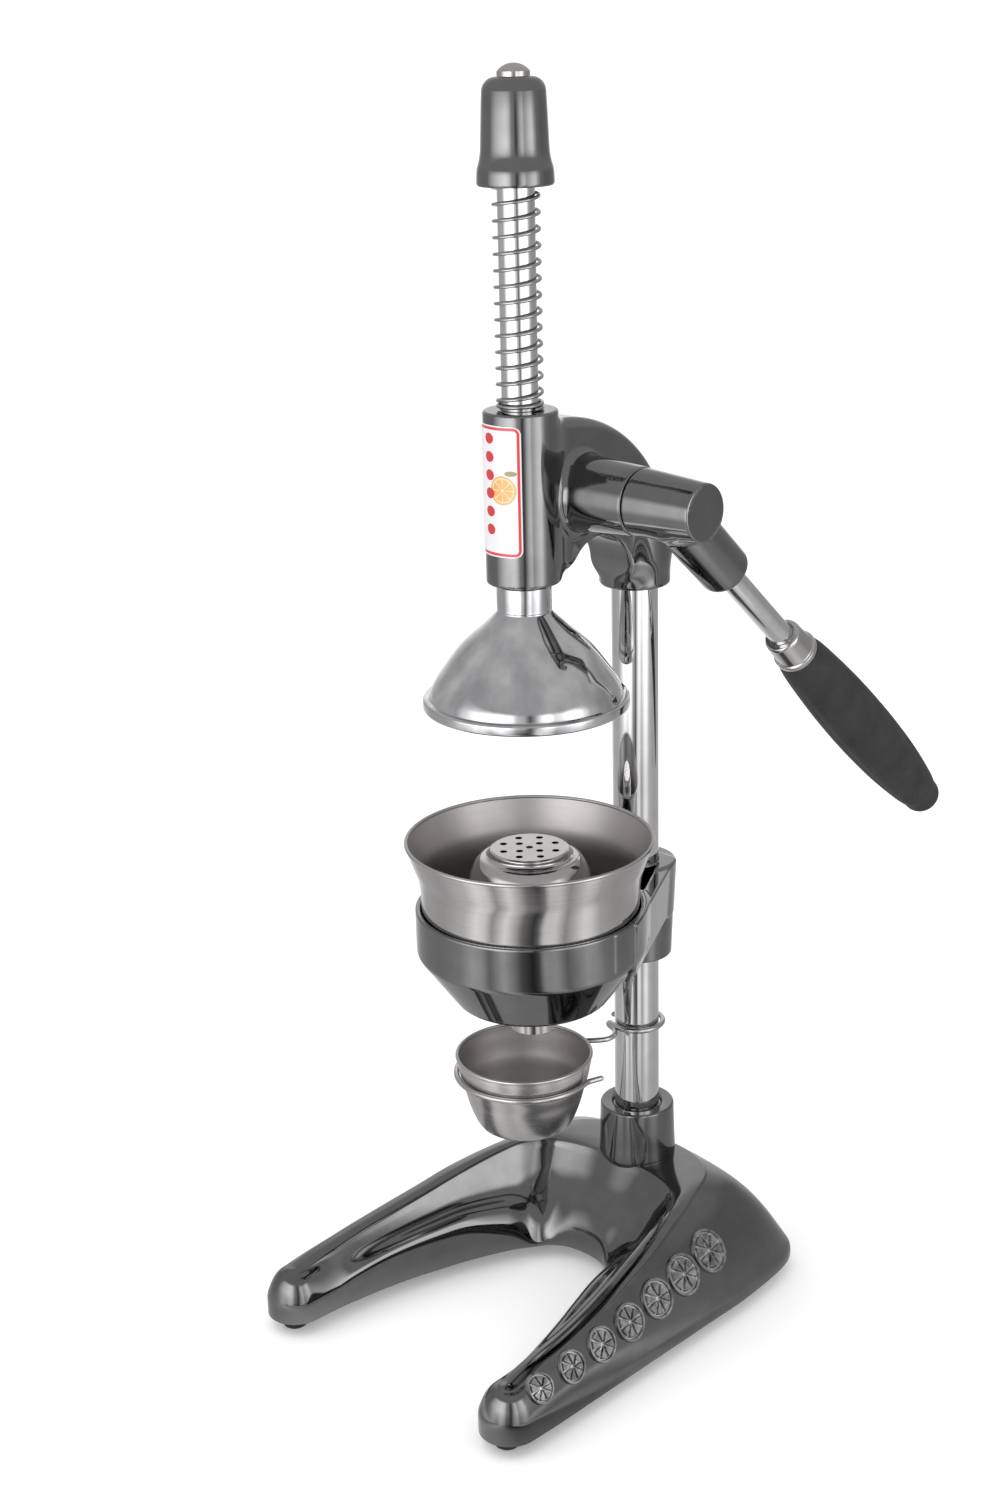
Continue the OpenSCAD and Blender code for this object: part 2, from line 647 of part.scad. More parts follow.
module grip_ferrule() {
    len = grip_start - ferrule_start;
    color(chrome) at_lever() translate([0, 0, ferrule_start]) difference() {
        rotate_extrude() polygon(concat([[0, 0], [9, 0]], arc([9, 1], 1, -90, 0, 3),
            [[10.8, len - 4], [12, len - 3.4], [12, len - 0.6], [11.4, len - 0.1], [0, len - 0.1]]));
        translate([0, 0, -eps]) cylinder(r = rod_r + fix_gap, h = len + 2 * eps);
    }
}

module lever_grip() {
    outside = smooth([[12, grip_start], [13.6, grip_start + 11], [15.2, grip_start + 31],
        [16.4, grip_start + 54], [16.8, grip_start + 78], [16.5, grip_start + 100],
        [15.3, grip_start + 126], [12.8, grip_start + 152], [10.6, lever_len - 11]], 3);
    color([0.2, 0.2, 0.2]) at_lever() difference() {
        rotate_extrude() polygon(concat([[0, grip_start]], outside,
            arc([2.6, lever_len - 8], 8, 0, 90, 6), [[0, lever_len]]));
        translate([0, 0, grip_start - eps]) cylinder(r = 5 + fix_gap, h = 150);
    }
}

// ---- bowl, reamer and holder --------------------------------------------------------------

wall_r = 57.4;
bowl_outside = concat(
    smooth([[65, bowl_rim - 0.6], [63.8, bowl_rim - 4.5], [61.2, bowl_rim - 12],
            [58.9, bowl_rim - 18.5], [57.8, bowl_rim - 24.5], [wall_r, bowl_rim - 31]], 3),
    [[wall_r, 218.6], [56.9, 216.4], [54.76, 211.8], [39.75, 190.7], [38.7, 189.4], [37.3, 188.4],
     [35.6, 188], [14.6, 188], [12.6, 187], [12, 185], [12, 166]]);

module juice_bowl() {
    bead = 1;
    color(steel) at_ram() {
        spun_sheet(bowl_outside, -sheet);
        rotate_extrude() translate([65.3 - bead, bowl_rim - bead]) circle(r = bead, $fn = 24);
    }
}

strainer_outside = [[0, 268], [19.8, 268], [21, 267.4], [21.5, 265.6], [22.6, 264.2],
    [25.6, 263.7], [27.2, 262.8], [28.4, 261], [31.7, 254.8], [34.6, 247], [37.6, 236],
    [39.2, 224], [40.4, 220.4], [43, 219], [52.5, 218.6], [54.2, 219.6], [54.9, 224]];

// Holes of the reamer's top, one ring inside the other
module top_holes() {
    hole_r = 1.9;
    inner = 7.4;
    outer = 14.6;
    spread = 22;
    cylinder(r = hole_r, h = 10);
    for (a = [0 : 90 : 270]) rotate([0, 0, a + 45]) translate([inner, 0, 0]) cylinder(r = hole_r, h = 10);
    for (a = [0 : 90 : 270], s = [-1, 1]) rotate([0, 0, a + s * spread])
        translate([outer, 0, 0]) cylinder(r = hole_r, h = 10);
}

module strainer_cone() {
    turn = 44;
    slot_mid = 47.5;
    color(steel) at_ram() difference() {
        spun_sheet(strainer_outside, -sheet);
        translate([0, 0, 262]) rotate([0, 0, turn]) top_holes();
        for (i = [0 : floor_holes - 1]) rotate([0, 0, i * 360 / floor_holes])
            translate([slot_mid, 0, 210]) cylinder(r = 2, h = 14, $fn = 24);
    }
}

holder_top = 236.4;
band_low = 213;
slot_low = 213;      // floor of the slots beside the column
arm_low = 206;
holder_outside = concat([[57.9, holder_top], [60.4, holder_top], [61.2, holder_top - 1],
    [61.2, band_low + 1], [60.6, band_low]],
    [[41.7, 185.6], [40.7, 184.2], [39.5, 183.3], [38, 183]]);
holder_inside = [[13.6, 183], [13.6, 187], [36, 187], [38, 187.8], [40, 190.5], [55, 211.6],
    [57.9, 216]];
// Room cleared inside the ring before the arms join it
ring_room = [[0, 200], [49.4, 200], [57.3, 211.6], [59.4, 216], [59.4, 250], [0, 250]];

// Plan of the arms that run from the collar to the ring, their sides touching both
module arm_plan(inset) {
    polygon([[17.2 - inset, 13.3], [52.3 - inset, -53.6], [30, -70], [-30, -70],
             [-52.3 + inset, -53.6], [-17.2 + inset, 13.3]]);
}

module bowl_holder() {
    collar_r = 21.8;
    collar_low = 181;
    wall = 5;
    color(dark) at_column() difference() {
        union() {
            translate([0, -reach, 0]) rotate_extrude($fn = 128)
                polygon(concat(holder_outside, holder_inside));
            rotate_extrude() polygon([[0, collar_low], [18.6, collar_low], [19.6, collar_low + 1],
                [collar_r, holder_top - 0.8], [collar_r - 0.8, holder_top], [0, holder_top]]);
            difference() {
                hull() {
                    translate([0, 0, holder_top - 1.4]) linear_extrude(1) arm_plan(0);
                    translate([0, 0, arm_low]) linear_extrude(1) arm_plan(2);
                }
                translate([0, -reach, 0]) rotate_extrude($fn = 128) polygon(ring_room);
            }
        }
        // Slots on both sides of the column, open at the top
        for (side = [0, 1]) mirror([side, 0, 0]) translate([0, 0, slot_low])
            linear_extrude(40) difference() {
                polygon([[0, 2], [13.5, 2], [17.5, -4], [41, -49], [0, -40]]);
                circle(r = column_r + 2.2);
                translate([0, -reach]) circle(r = 60.8, $fn = 128);
            }
        translate([0, 0, collar_low - eps]) cylinder(r = column_r + fix_gap, h = 80);
        translate([0, 0, 205]) rotate([-90, 0, 0]) translate([0, 0, 18.5]) set_hole(8);
    }
}

// ---- cup and bracket ----------------------------------------------------------------------

ring_r = 36.9;       // wire ring under the cup's rim
loop_r = 14.8;       // wire loop round the column
loop_z = 138;
ring_z = 136.5;

// Centre line of the wire, from its end behind the column to its free end beside the cup
function wire_path() = let (
    c = reach * [-sin(cup_swing), -cos(cup_swing)],
    loop = [for (a = [200 : -24 : -136]) [loop_r * cos(a), loop_r * sin(a), loop_z]],
    bend = smooth([[-6.6, -13.4, loop_z], [-10.8, -11, loop_z - 0.6], [-9.6, -13.6, loop_z - 1],
        [-3, -16, 136.9], [1.4, -20.5, ring_z + 0.1], [1.8, -27, ring_z], [-3, -33.5, ring_z],
        [-13, -42.5, ring_z]], 3),
    ring = [for (a = [114 : 12 : 378]) [c[0] + ring_r * cos(a), c[1] + ring_r * sin(a), ring_z]],
    tail = [[c[0] + 38, c[1] + 19.5, ring_z + 0.2]])
    concat([for (p = loop) if (p[0] > -9 || p[1] > -4) p], bend, ring, tail);

module cup_bracket() { color(steel) at_column() swept(wire_path(), wire_d / 2, 8); }

cup_outside = concat([[37.1, cup_rim - 0.8]], smooth([[36.6, cup_rim - 2.4],
    [36.2, cup_rim - 5.2], [34.4, cup_rim - 14], [32.4, cup_rim - 20.5], [30.8, cup_rim - 26.6],
    [28.8, cup_rim - 32.7], [26.4, cup_rim - 38.2], [24, cup_rim - 41.4], [20.6, cup_rim - 42.9],
    [16, cup_rim - 43.2]], 3), [[0, cup_rim - 43.2]]);

module drip_cup() {
    bead = 0.9;
    color(steel) at_cup() {
        spun_sheet(cup_outside, -sheet * 0.75);
        rotate_extrude() translate([37.2 - bead, cup_rim - bead]) circle(r = bead, $fn = 24);
    }
}

base_casting();
rubber_feet();
foot_screws();
column_tube();
socket_set_screw();
head_casting();
head_set_screw();
shaft_bush();
gear_cover();
cover_screws();
front_label();
return_spring();
bowl_holder();
holder_set_screw();
ram_rod();
ram_cap();
cap_nut();
press_bell();
bell_screw();
pinion_gear();
pinion_shaft();
gear_key();
shaft_clip();
lever_hub();
hub_set_screw();
lever_rod();
grip_ferrule();
lever_grip();
juice_bowl();
strainer_cone();
cup_bracket();
drip_cup();
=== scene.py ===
"""Citrus press juicer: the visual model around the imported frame. Lengths are in mm until a
mesh is made, and then in metres."""
import math

import bpy
import numpy as np
from mathutils import Euler, Matrix, Vector
from mathutils.bvhtree import BVHTree
from mathutils.geometry import delaunay_2d_cdt


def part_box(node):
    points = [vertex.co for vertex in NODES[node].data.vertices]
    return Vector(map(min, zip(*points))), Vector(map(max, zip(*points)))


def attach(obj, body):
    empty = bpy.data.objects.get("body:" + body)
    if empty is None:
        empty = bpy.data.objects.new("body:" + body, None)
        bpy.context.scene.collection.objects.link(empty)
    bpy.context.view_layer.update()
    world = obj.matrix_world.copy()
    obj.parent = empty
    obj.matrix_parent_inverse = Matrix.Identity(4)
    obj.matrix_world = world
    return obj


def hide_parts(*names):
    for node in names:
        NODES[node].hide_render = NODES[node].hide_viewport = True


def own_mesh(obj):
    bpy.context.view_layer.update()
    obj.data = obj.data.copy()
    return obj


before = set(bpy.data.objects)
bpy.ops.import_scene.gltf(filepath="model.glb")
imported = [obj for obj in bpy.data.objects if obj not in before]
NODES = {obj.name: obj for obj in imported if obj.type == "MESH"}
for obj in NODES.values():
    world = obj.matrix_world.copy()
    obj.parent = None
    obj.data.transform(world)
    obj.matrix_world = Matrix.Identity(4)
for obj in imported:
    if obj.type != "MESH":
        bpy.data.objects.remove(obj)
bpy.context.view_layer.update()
MM = 0.001


def middle(node):
    """Middle of a CAD node's box."""
    lo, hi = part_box(node)
    return (np.array(lo) + np.array(hi)) / 2 / MM


def span(node, axis):
    """Where a CAD node begins and ends along an axis."""
    lo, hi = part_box(node)
    return lo[axis] / MM, hi[axis] / MM


COL_Y = middle("column_tube")[1]
RAM_Y = middle("press_bell")[1]
SHAFT_Y, SHAFT_Z = middle("pinion_gear")[1:]
CUP_X, CUP_Y = middle("drip_cup")[:2]
LEVER_X = middle("lever_rod")[0]
REACH = COL_Y - RAM_Y
COLUMN_HOLE = 12.53  # radii of the bores for the column, ram, bush, shaft and rod
RAM_HOLE = 9.26
BUSH_HOLE = 9.53
SHAFT_HOLE = 7.03
ROD_HOLE = 6.45
LEVER_FALL = math.radians(42.75)  # how far the lever points below the level at rest
LEVER_DIR = np.array([0, math.cos(LEVER_FALL), -math.sin(LEVER_FALL)])


# ---- curves and outlines --------------------------------------------------------------------

def catmull(points, n):
    """Smooth open curve through the points, n steps from one to the next."""
    p = np.asarray(points, float)
    p = np.vstack([2 * p[0] - p[1], p, 2 * p[-1] - p[-2]])
    out = []
    for i in range(1, len(p) - 2):
        a, b, c, d = p[i - 1:i + 3]
        for t in np.arange(n) / n:
            out.append(0.5 * (2 * b + (c - a) * t + (2 * a - 5 * b + 4 * c - d) * t * t
                              + (3 * b - a - 3 * c + d) * t ** 3))
    out.append(p[-2])
    return np.array(out)


def rounded(points, n=5, closed=False):
    """Outline through (r, z, fillet) corners, each corner rounded by its fillet."""
    pts = [np.array(p[:2], float) for p in points]
    radius = [p[2] if len(p) > 2 else 0 for p in points]
    out = []
    for i, p in enumerate(pts):
        ends = not closed and i in (0, len(pts) - 1)
        if radius[i] <= 0 or ends:
            out.append(p)
            continue
        a, b = pts[i - 1] - p, pts[(i + 1) % len(pts)] - p
        la, lb = np.linalg.norm(a), np.linalg.norm(b)
        reach = min(radius[i], 0.48 * la, 0.48 * lb)
        start, end = p + a / la * reach, p + b / lb * reach
        for t in np.linspace(0, 1, n + 1):
            out.append((1 - t) ** 2 * start + 2 * t * (1 - t) * p + t * t * end)
    return np.array(out)


def beside(points, w):
    """The outline moved sideways by w, to the right of its direction."""
    d = np.gradient(np.asarray(points), axis=0)
    d /= np.linalg.norm(d, axis=1)[:, None]
    return points + w * np.stack([d[:, 1], -d[:, 0]], 1)


def up_from(base, points):
    """Outline points whose heights are counted from base."""
    return [(r, base + z, *fillet) for r, z, *fillet in points]


def sheet_outline(points, w):
    """Closed outline of a thin sheet, w to the right of the open outline."""
    inner = beside(points, w)
    inner[:, 0] = np.maximum(inner[:, 0], 0)
    return np.vstack([points, inner[::-1]])


# ---- meshes ---------------------------------------------------------------------------------

def piece(name, verts, faces, mat, body, slot, nodes=(), sharp=38, normals=None):
    """A visible piece that rides on a body; nodes are the CAD nodes it replaces."""
    mesh = bpy.data.meshes.new(name)
    mesh.from_pydata((np.asarray(verts, float) * MM).tolist(), [], [list(map(int, f)) for f in faces])
    mesh.validate()
    mesh.update()
    mesh.shade_smooth()
    if normals is None:
        mesh.set_sharp_from_angle(angle=math.radians(sharp))
    else:
        mesh.normals_split_custom_set_from_vertices(normals.tolist())
    mesh.materials.append(mat)
    obj = bpy.data.objects.new(name, mesh)
    bpy.context.scene.collection.objects.link(obj)
    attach(obj, body)
    if nodes:
        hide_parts(*nodes)
    return obj


def add_face(faces, *corners):
    """Add a face without its repeated corners, if three are left."""
    corners = list(dict.fromkeys(corners))
    if len(corners) > 2:
        faces.append(corners)


def lathe(outline, n=128, closed=False, ripple=None):
    """Turned surface about local Z. Points on the axis become one vertex each."""
    verts, rings = [], []
    angles = 2 * math.pi * np.arange(n) / n
    for r, z in outline:
        if r < 1e-6:
            rings.append([len(verts)] * n)
            verts.append((0, 0, z))
            continue
        rings.append(list(range(len(verts), len(verts) + n)))
        for a in angles:
            rr = r if ripple is None else ripple(r, z, a)
            verts.append((rr * math.cos(a), rr * math.sin(a), z))
    faces = []
    count = len(rings)
    for k in range(count if closed else count - 1):
        low, high = rings[k], rings[(k + 1) % count]
        for i in range(n):
            j = (i + 1) % n
            add_face(faces, low[i], low[j], high[j], high[i])
    return np.array(verts, float), faces


def turned(name, outline, place, mat, body, slot, nodes, n=128, closed=True, ripple=None):
    """A lathe piece; place is a function from local points to the row frame."""
    verts, faces = lathe(outline, n, closed, ripple)
    piece(name, place(verts), outward(verts, faces), mat, body, slot, nodes)


def outward(verts, faces):
    """The faces, all turned round if the closed mesh they make is inside out."""
    volume = 0
    for f in faces:
        a = verts[f[0]]
        for i in range(1, len(f) - 1):
            volume += np.dot(a, np.cross(verts[f[i]], verts[f[i + 1]]))
    return faces if volume > 0 else [f[::-1] for f in faces]


def shells(outlines, n):
    """Closed turned solids, one for each outline."""
    parts = [lathe(outline, n, True) for outline in outlines]
    return [(verts, outward(verts, faces)) for verts, faces in parts]


def rolled_rim(r, z, wire):
    """Outline of the rolled edge of a bowl: a circle of radius wire that touches z from below."""
    return np.array([(r + wire * math.cos(a), z - wire + wire * math.sin(a))
                     for a in np.linspace(0, 2 * math.pi, 17)[:-1]])


def upright(x, y):
    """Place for a turned piece on the upright axis at x, y."""
    return lambda v: v + np.array([x, y, 0])


on_ram = upright(0, RAM_Y)
on_column = upright(0, COL_Y)


def along_lever(v):
    """Place for a turned piece on the lever's axis, measured from the shaft."""
    up = np.array([0, math.sin(LEVER_FALL), math.cos(LEVER_FALL)])
    return (np.array([LEVER_X, SHAFT_Y, SHAFT_Z]) + np.outer(v[:, 0], [1, 0, 0])
            + np.outer(v[:, 1], up) + np.outer(v[:, 2], LEVER_DIR))


def sweep(path, r, n=14):
    """Round wire along a path, with round ends."""
    path = np.asarray(path, float)
    d = np.gradient(path, axis=0)
    d /= np.linalg.norm(d, axis=1)[:, None]
    up = np.cross(d[0], [0.1, 0.2, 1.0])
    up /= np.linalg.norm(up)
    frames = []
    for t in d:
        up = up - np.dot(up, t) * t
        up /= np.linalg.norm(up)
        frames.append((up, np.cross(t, up)))
    rings = []
    for end, first in ((0, True), (len(path) - 1, False)):
        cap = []
        for a in np.linspace(80, 20, 4):
            a = math.radians(a)
            sign = -1 if first else 1
            cap.append((path[end] + sign * r * math.sin(a) * d[end], frames[end], r * math.cos(a)))
        rings.append(cap if first else cap[::-1])
    body = [(p, f, r) for p, f in zip(path, frames)]
    stack = rings[0] + body + rings[1]
    verts = [c + rad * (math.cos(a) * f[0] + math.sin(a) * f[1])
             for c, f, rad in stack for a in 2 * math.pi * np.arange(n) / n]
    faces = [[i * n + k, i * n + (k + 1) % n, (i + 1) * n + (k + 1) % n, (i + 1) * n + k]
             for i in range(len(stack) - 1) for k in range(n)]
    faces.append(list(range(n))[::-1])
    faces.append([(len(stack) - 1) * n + k for k in range(n)])
    verts = np.array(verts)
    return verts, outward(verts, faces)


def cad_copy(node, mat, body, slot, sharp=32):
    """A small CAD part as it is, with its shading smoothed."""
    source = NODES[node].data
    verts = np.array([v.co for v in source.vertices]) / MM
    keys, index = np.unique(np.round(verts, 4), axis=0, return_inverse=True)
    index = index.ravel()
    faces = []
    for poly in source.polygons:
        f = [int(index[v]) for v in poly.vertices]
        if len(set(f)) == len(f):
            faces.append(f)
    return piece(node + "_v", keys, faces, mat, body, slot, [node], sharp=sharp)


def drilled_ring(outer_r, inner_r, holes, z_top, z_low, n=128):
    """Flat round plate or ring with round holes; holes are (x, y, r)."""
    loops = []

    def loop(cx, cy, r, count):
        a = 2 * math.pi * np.arange(count) / count
        loops.append(np.stack([cx + r * np.cos(a), cy + r * np.sin(a)], 1))

    loop(0, 0, outer_r, n)
    if inner_r:
        loop(0, 0, inner_r, n)
    for x, y, r in holes:
        loop(x, y, r, 24)
    pts, edges = [], []
    for ring in loops:
        start = len(pts)
        pts += [Vector(p) for p in ring]
        edges += [(start + i, start + (i + 1) % len(ring)) for i in range(len(ring))]
    out, _, tris = delaunay_2d_cdt(pts, edges, [], 0, 1e-6)[:3]
    out = np.array([tuple(p) for p in out])
    keep = []
    for t in tris:
        c = out[list(t)].mean(0)
        rad = math.hypot(*c)
        if rad > outer_r or rad < inner_r:
            continue
        if any(math.hypot(c[0] - x, c[1] - y) < r for x, y, r in holes):
            continue
        keep.append(list(t))
    count = len(out)
    verts = np.vstack([np.c_[out, np.full(count, z_top)], np.c_[out, np.full(count, z_low)]])
    faces = [f if np.cross(*(out[f[1:]] - out[f[0]])) > 0 else f[::-1] for f in keep]
    faces = faces + [[v + count for v in f[::-1]] for f in faces]
    start = 0
    for k, ring in enumerate(loops):
        m = len(ring)
        for i in range(m):
            a, b = start + i, start + (i + 1) % m
            side = [a, a + count, b + count, b]
            faces.append(side if k == 0 else side[::-1])
        start += m
    return verts, faces


def joined(*parts):
    """Several meshes as one."""
    verts, faces, base = [], [], 0
    for v, f in parts:
        verts.append(v)
        faces += [[i + base for i in face] for face in f]
        base += len(v)
    return np.vstack(verts), faces


# ---- cast shapes as distance fields ---------------------------------------------------------

def smin(a, b, k):
    """The smaller of two distances, with a fillet about k wide where they meet."""
    h = np.maximum(k - np.abs(a - b), 0) / k
    return np.minimum(a, b) - h * h * k / 4


def smax(a, b, k):
    """The larger of two distances, rounded in the same way."""
    return -smin(-a, -b, k)


def can(radial, axial, low, high, r, fillet):
    """Bar from low to high along its axis, with rounded ends."""
    u, v = radial - r + fillet, np.abs(axial - (low + high) / 2) - (high - low) / 2 + fillet
    return np.hypot(np.maximum(u, 0), np.maximum(v, 0)) + np.minimum(np.maximum(u, v), 0) - fillet


def surface_net(field, lo, hi, step):
    """Closed quad mesh of field = 0, its vertices moved onto the surface, and their normals."""
    axes = [np.arange(lo[i], hi[i] + step, step) for i in range(3)]
    grid = np.meshgrid(*axes, indexing="ij")
    d = field(*grid)
    shape = np.array(d.shape)
    total = np.zeros(tuple(shape - 1) + (3,))
    hits = np.zeros(tuple(shape - 1))
    crossings = []
    for a in range(3):
        low = [slice(None)] * 3
        high = [slice(None)] * 3
        low[a], high[a] = slice(0, -1), slice(1, None)
        d0, d1 = d[tuple(low)], d[tuple(high)]
        idx = np.argwhere((d0 < 0) != (d1 < 0))
        v0, v1 = d0[tuple(idx.T)], d1[tuple(idx.T)]
        pos = idx.astype(float)
        pos[:, a] += v0 / (v0 - v1)
        b, c = [(1, 2), (2, 0), (0, 1)][a]
        inner = ((idx[:, b] > 0) & (idx[:, b] < shape[b] - 1)
                 & (idx[:, c] > 0) & (idx[:, c] < shape[c] - 1))
        idx, pos, v0 = idx[inner], pos[inner], v0[inner]
        cells = []
        for ob, oc in ((-1, -1), (0, -1), (0, 0), (-1, 0)):
            cell = idx.copy()
            cell[:, b] += ob
            cell[:, c] += oc
            np.add.at(total, tuple(cell.T), pos)
            np.add.at(hits, tuple(cell.T), 1)
            cells.append(cell)
        crossings.append((cells, v0 < 0))
    filled = hits > 0
    number = np.full(hits.shape, -1)
    number[filled] = np.arange(filled.sum())
    verts = total[filled] / hits[filled][:, None] * step + np.array(lo)
    faces = []
    for cells, inside in crossings:
        quad = np.stack([number[tuple(c.T)] for c in cells], 1)
        quad[~inside] = quad[~inside][:, ::-1]
        faces.append(quad)

    def gradient(p):
        e = 0.02
        g = []
        for i in range(3):
            s = np.zeros(3)
            s[i] = e
            g.append((field(*(p + s).T) - field(*(p - s).T)) / (2 * e))
        return np.stack(g, 1)

    for _ in range(4):
        g = gradient(verts)
        move = field(*verts.T)[:, None] * g / np.maximum((g * g).sum(1), 0.05)[:, None]
        size = np.linalg.norm(move, axis=1)[:, None]
        verts = verts - move * np.minimum(1, 0.4 * step / np.maximum(size, 1e-9))
    g = gradient(verts)
    g /= np.maximum(np.linalg.norm(g, axis=1), 1e-9)[:, None]
    return verts, np.vstack(faces), g


def line_inside(obj, mat, x, y, top=1000):
    """Give the faces below top that look to the upright axis at x, y, or up, their own material."""
    mesh = obj.data
    mesh.materials.append(mat)
    for face in mesh.polygons:
        out_x, out_y = face.center.x - x * MM, face.center.y - y * MM
        away = (face.normal.x * out_x + face.normal.y * out_y) / max(math.hypot(out_x, out_y), 1e-6)
        if (away < -0.1 or face.normal.z > 0.6) and face.center.z < top * MM:
            face.material_index = 1


def cast(name, field, lo, hi, step, mat, body, slot, nodes):
    """A piece from a distance field."""
    verts, faces, normals = surface_net(field, lo, hi, step)
    return piece(name, verts, faces, mat, body, slot, nodes, normals=normals)


# ---- materials ------------------------------------------------------------------------------

class Nodes:
    """Short way to build a node tree."""

    def __init__(self, name):
        self.mat = bpy.data.materials.new(name)
        self.mat.use_nodes = True
        self.tree = self.mat.node_tree
        self.tree.nodes.clear()
        self.shader = self.add("BsdfPrincipled")
        self.output = self.add("OutputMaterial", Surface=self.shader.outputs[0])
        self.place = self.add("TexCoord").outputs["Object"]

    def add(self, kind, **inputs):
        """A new node; each input is a value or another node's output."""
        node = self.tree.nodes.new("ShaderNode" + kind)
        for key, value in inputs.items():
            self.put(node, key.replace("_", " "), value)
        return node

    def put(self, node, key, value):
        if isinstance(value, bpy.types.NodeSocket):
            self.tree.links.new(value, node.inputs[key])
        else:
            node.inputs[key].default_value = value

    def set(self, **inputs):
        """Set inputs of the surface shader."""
        for key, value in inputs.items():
            self.put(self.shader, key.replace("_", " "), value)
        return self

    def math(self, op, *values):
        node = self.add("Math")
        node.operation = op
        for i, value in enumerate(values):
            self.put(node, i, value)
        return node.outputs[0]

    def product(self, first, *others):
        for other in others:
            first = self.math("MULTIPLY", first, other)
        return first

    def hypot(self, a, b):
        return self.math("SQRT", self.math("ADD", self.product(a, a), self.product(b, b)))

    def opposite(self, a):
        return self.math("SUBTRACT", 1, a)

    def noise(self, scale, detail=3.0, stretch=None, rough=0.5):
        place = self.place
        if stretch:
            place = self.add("Mapping", Vector=place, Scale=stretch).outputs[0]
        node = self.add("TexNoise", Vector=place, Scale=scale, Detail=detail, Roughness=rough)
        return node.outputs["Fac"]

    def spread(self, fac, low, high, start=0.3, end=0.7):
        """fac mapped from start..end to low..high."""
        node = self.add("MapRange", Value=fac, From_Min=start, From_Max=end, To_Min=low, To_Max=high)
        return node.outputs[0]

    def mix(self, fac, a, b):
        node = self.add("Mix")
        node.data_type = "RGBA"
        self.put(node, 0, fac)
        for key, value in ((6, a), (7, b)):
            self.put(node, key, value if not isinstance(value, tuple) else (*value, 1))
        return node.outputs[2]

    def bump(self, height, distance):
        node = self.add("Bump", Strength=1.0, Distance=distance, Height=height)
        self.set(Normal=node.outputs[0])

    def edges(self, start, end):
        """1 along sharp edges and 0 in hollow corners, from the mesh's own sharpness."""
        return self.spread(self.add("NewGeometry").outputs["Pointiness"], 0, 1, start, end)


def plated(name, dark, light, rough, waviness, grain=0.00002):
    """Plated casting: soft waves left by polishing, fine pits, edges a little brighter."""
    m = Nodes(name).set(Metallic=1.0)
    waves = m.noise(38, 2)
    # Colour a little lighter along sharp edges
    edge_tint = tuple(min(1, 1.35 * v) for v in light)
    m.set(Base_Color=m.mix(m.edges(0.53, 0.62), m.mix(m.spread(m.noise(90, 4), 0, 1), dark, light), edge_tint))
    m.set(Roughness=m.spread(m.noise(260, 4), rough * 0.75, rough * 1.3))
    fine = m.noise(1400, 3)
    m.bump(m.math("ADD", m.product(waves, waviness), m.product(fine, grain)), 1.0)
    return m.mat


def raised(name, dark, light, rough):
    """Relief of the base: painted shade darkens its hollow corners, and a painted highlight makes its edges
    near white.
    """
    m = Nodes(name).set(Metallic=1.0)
    # Painted shade: dark colour in the relief's hollow corners
    shade = m.mix(m.edges(0.40, 0.49), dark, m.mix(m.spread(m.noise(200, 4), 0, 1), dark, light))
    # Painted highlight: near-white colour along the relief's sharp edges
    m.set(Base_Color=m.mix(m.edges(0.51, 0.58), shade, (0.88, 0.88, 0.89)))
    m.set(Roughness=m.spread(m.noise(400, 4), rough * 0.8, rough * 1.25))
    m.bump(m.noise(900, 3), 0.00002)
    return m.mat


def turned_steel(name, dark, light, rough, streak, bump, stretch=(3, 3, 900)):
    """Spun or drawn steel: fine, slightly uneven lines."""
    m = Nodes(name).set(Metallic=1.0)
    lines = m.noise(1.0, 4, stretch)
    blotch = m.noise(60, 3)
    m.set(Base_Color=m.mix(m.spread(m.product(lines, blotch), 0, 1, 0.12, 0.42), dark, light))
    m.set(Roughness=m.spread(lines, rough - streak, rough + streak))
    m.bump(lines, bump)
    return m.mat


ROUND = (3, 3, 1500)  # noise scale of the fine lines on spun sheet
SPUN = (0.46, 0.445, 0.44), (0.52, 0.505, 0.50)      # darker and lighter tone of spun sheet
nickel_base = plated("nickel_base", (0.160, 0.160, 0.163), (0.185, 0.184, 0.186), 0.07, 0.00004,
                     0.000002)
nickel_head = plated("nickel_head", (0.190, 0.189, 0.192), (0.218, 0.217, 0.219), 0.06, 0.00003,
                     0.000002)
relief = raised("nickel_relief", (0.17, 0.17, 0.175), (0.50, 0.50, 0.505), 0.30)
chrome = plated("chrome", (0.60, 0.60, 0.61), (0.66, 0.66, 0.665), 0.055, 0.00001, 0.000001)
chrome_rod = turned_steel("chrome_rod", (0.60, 0.60, 0.61), (0.68, 0.68, 0.685), 0.07, 0.02, 0.000002,
                          (260, 260, 3))
bell_chrome = turned_steel("bell_chrome", (0.44, 0.44, 0.455), (0.72, 0.72, 0.725), 0.065, 0.02, 0.000001,
                           (75, 75, 8))
spring_wire = plated("spring_wire", (0.30, 0.30, 0.31), (0.40, 0.40, 0.41), 0.2, 0.00002)
satin = turned_steel("satin_steel", *SPUN, 0.12, 0.025, 0.0000015, ROUND)
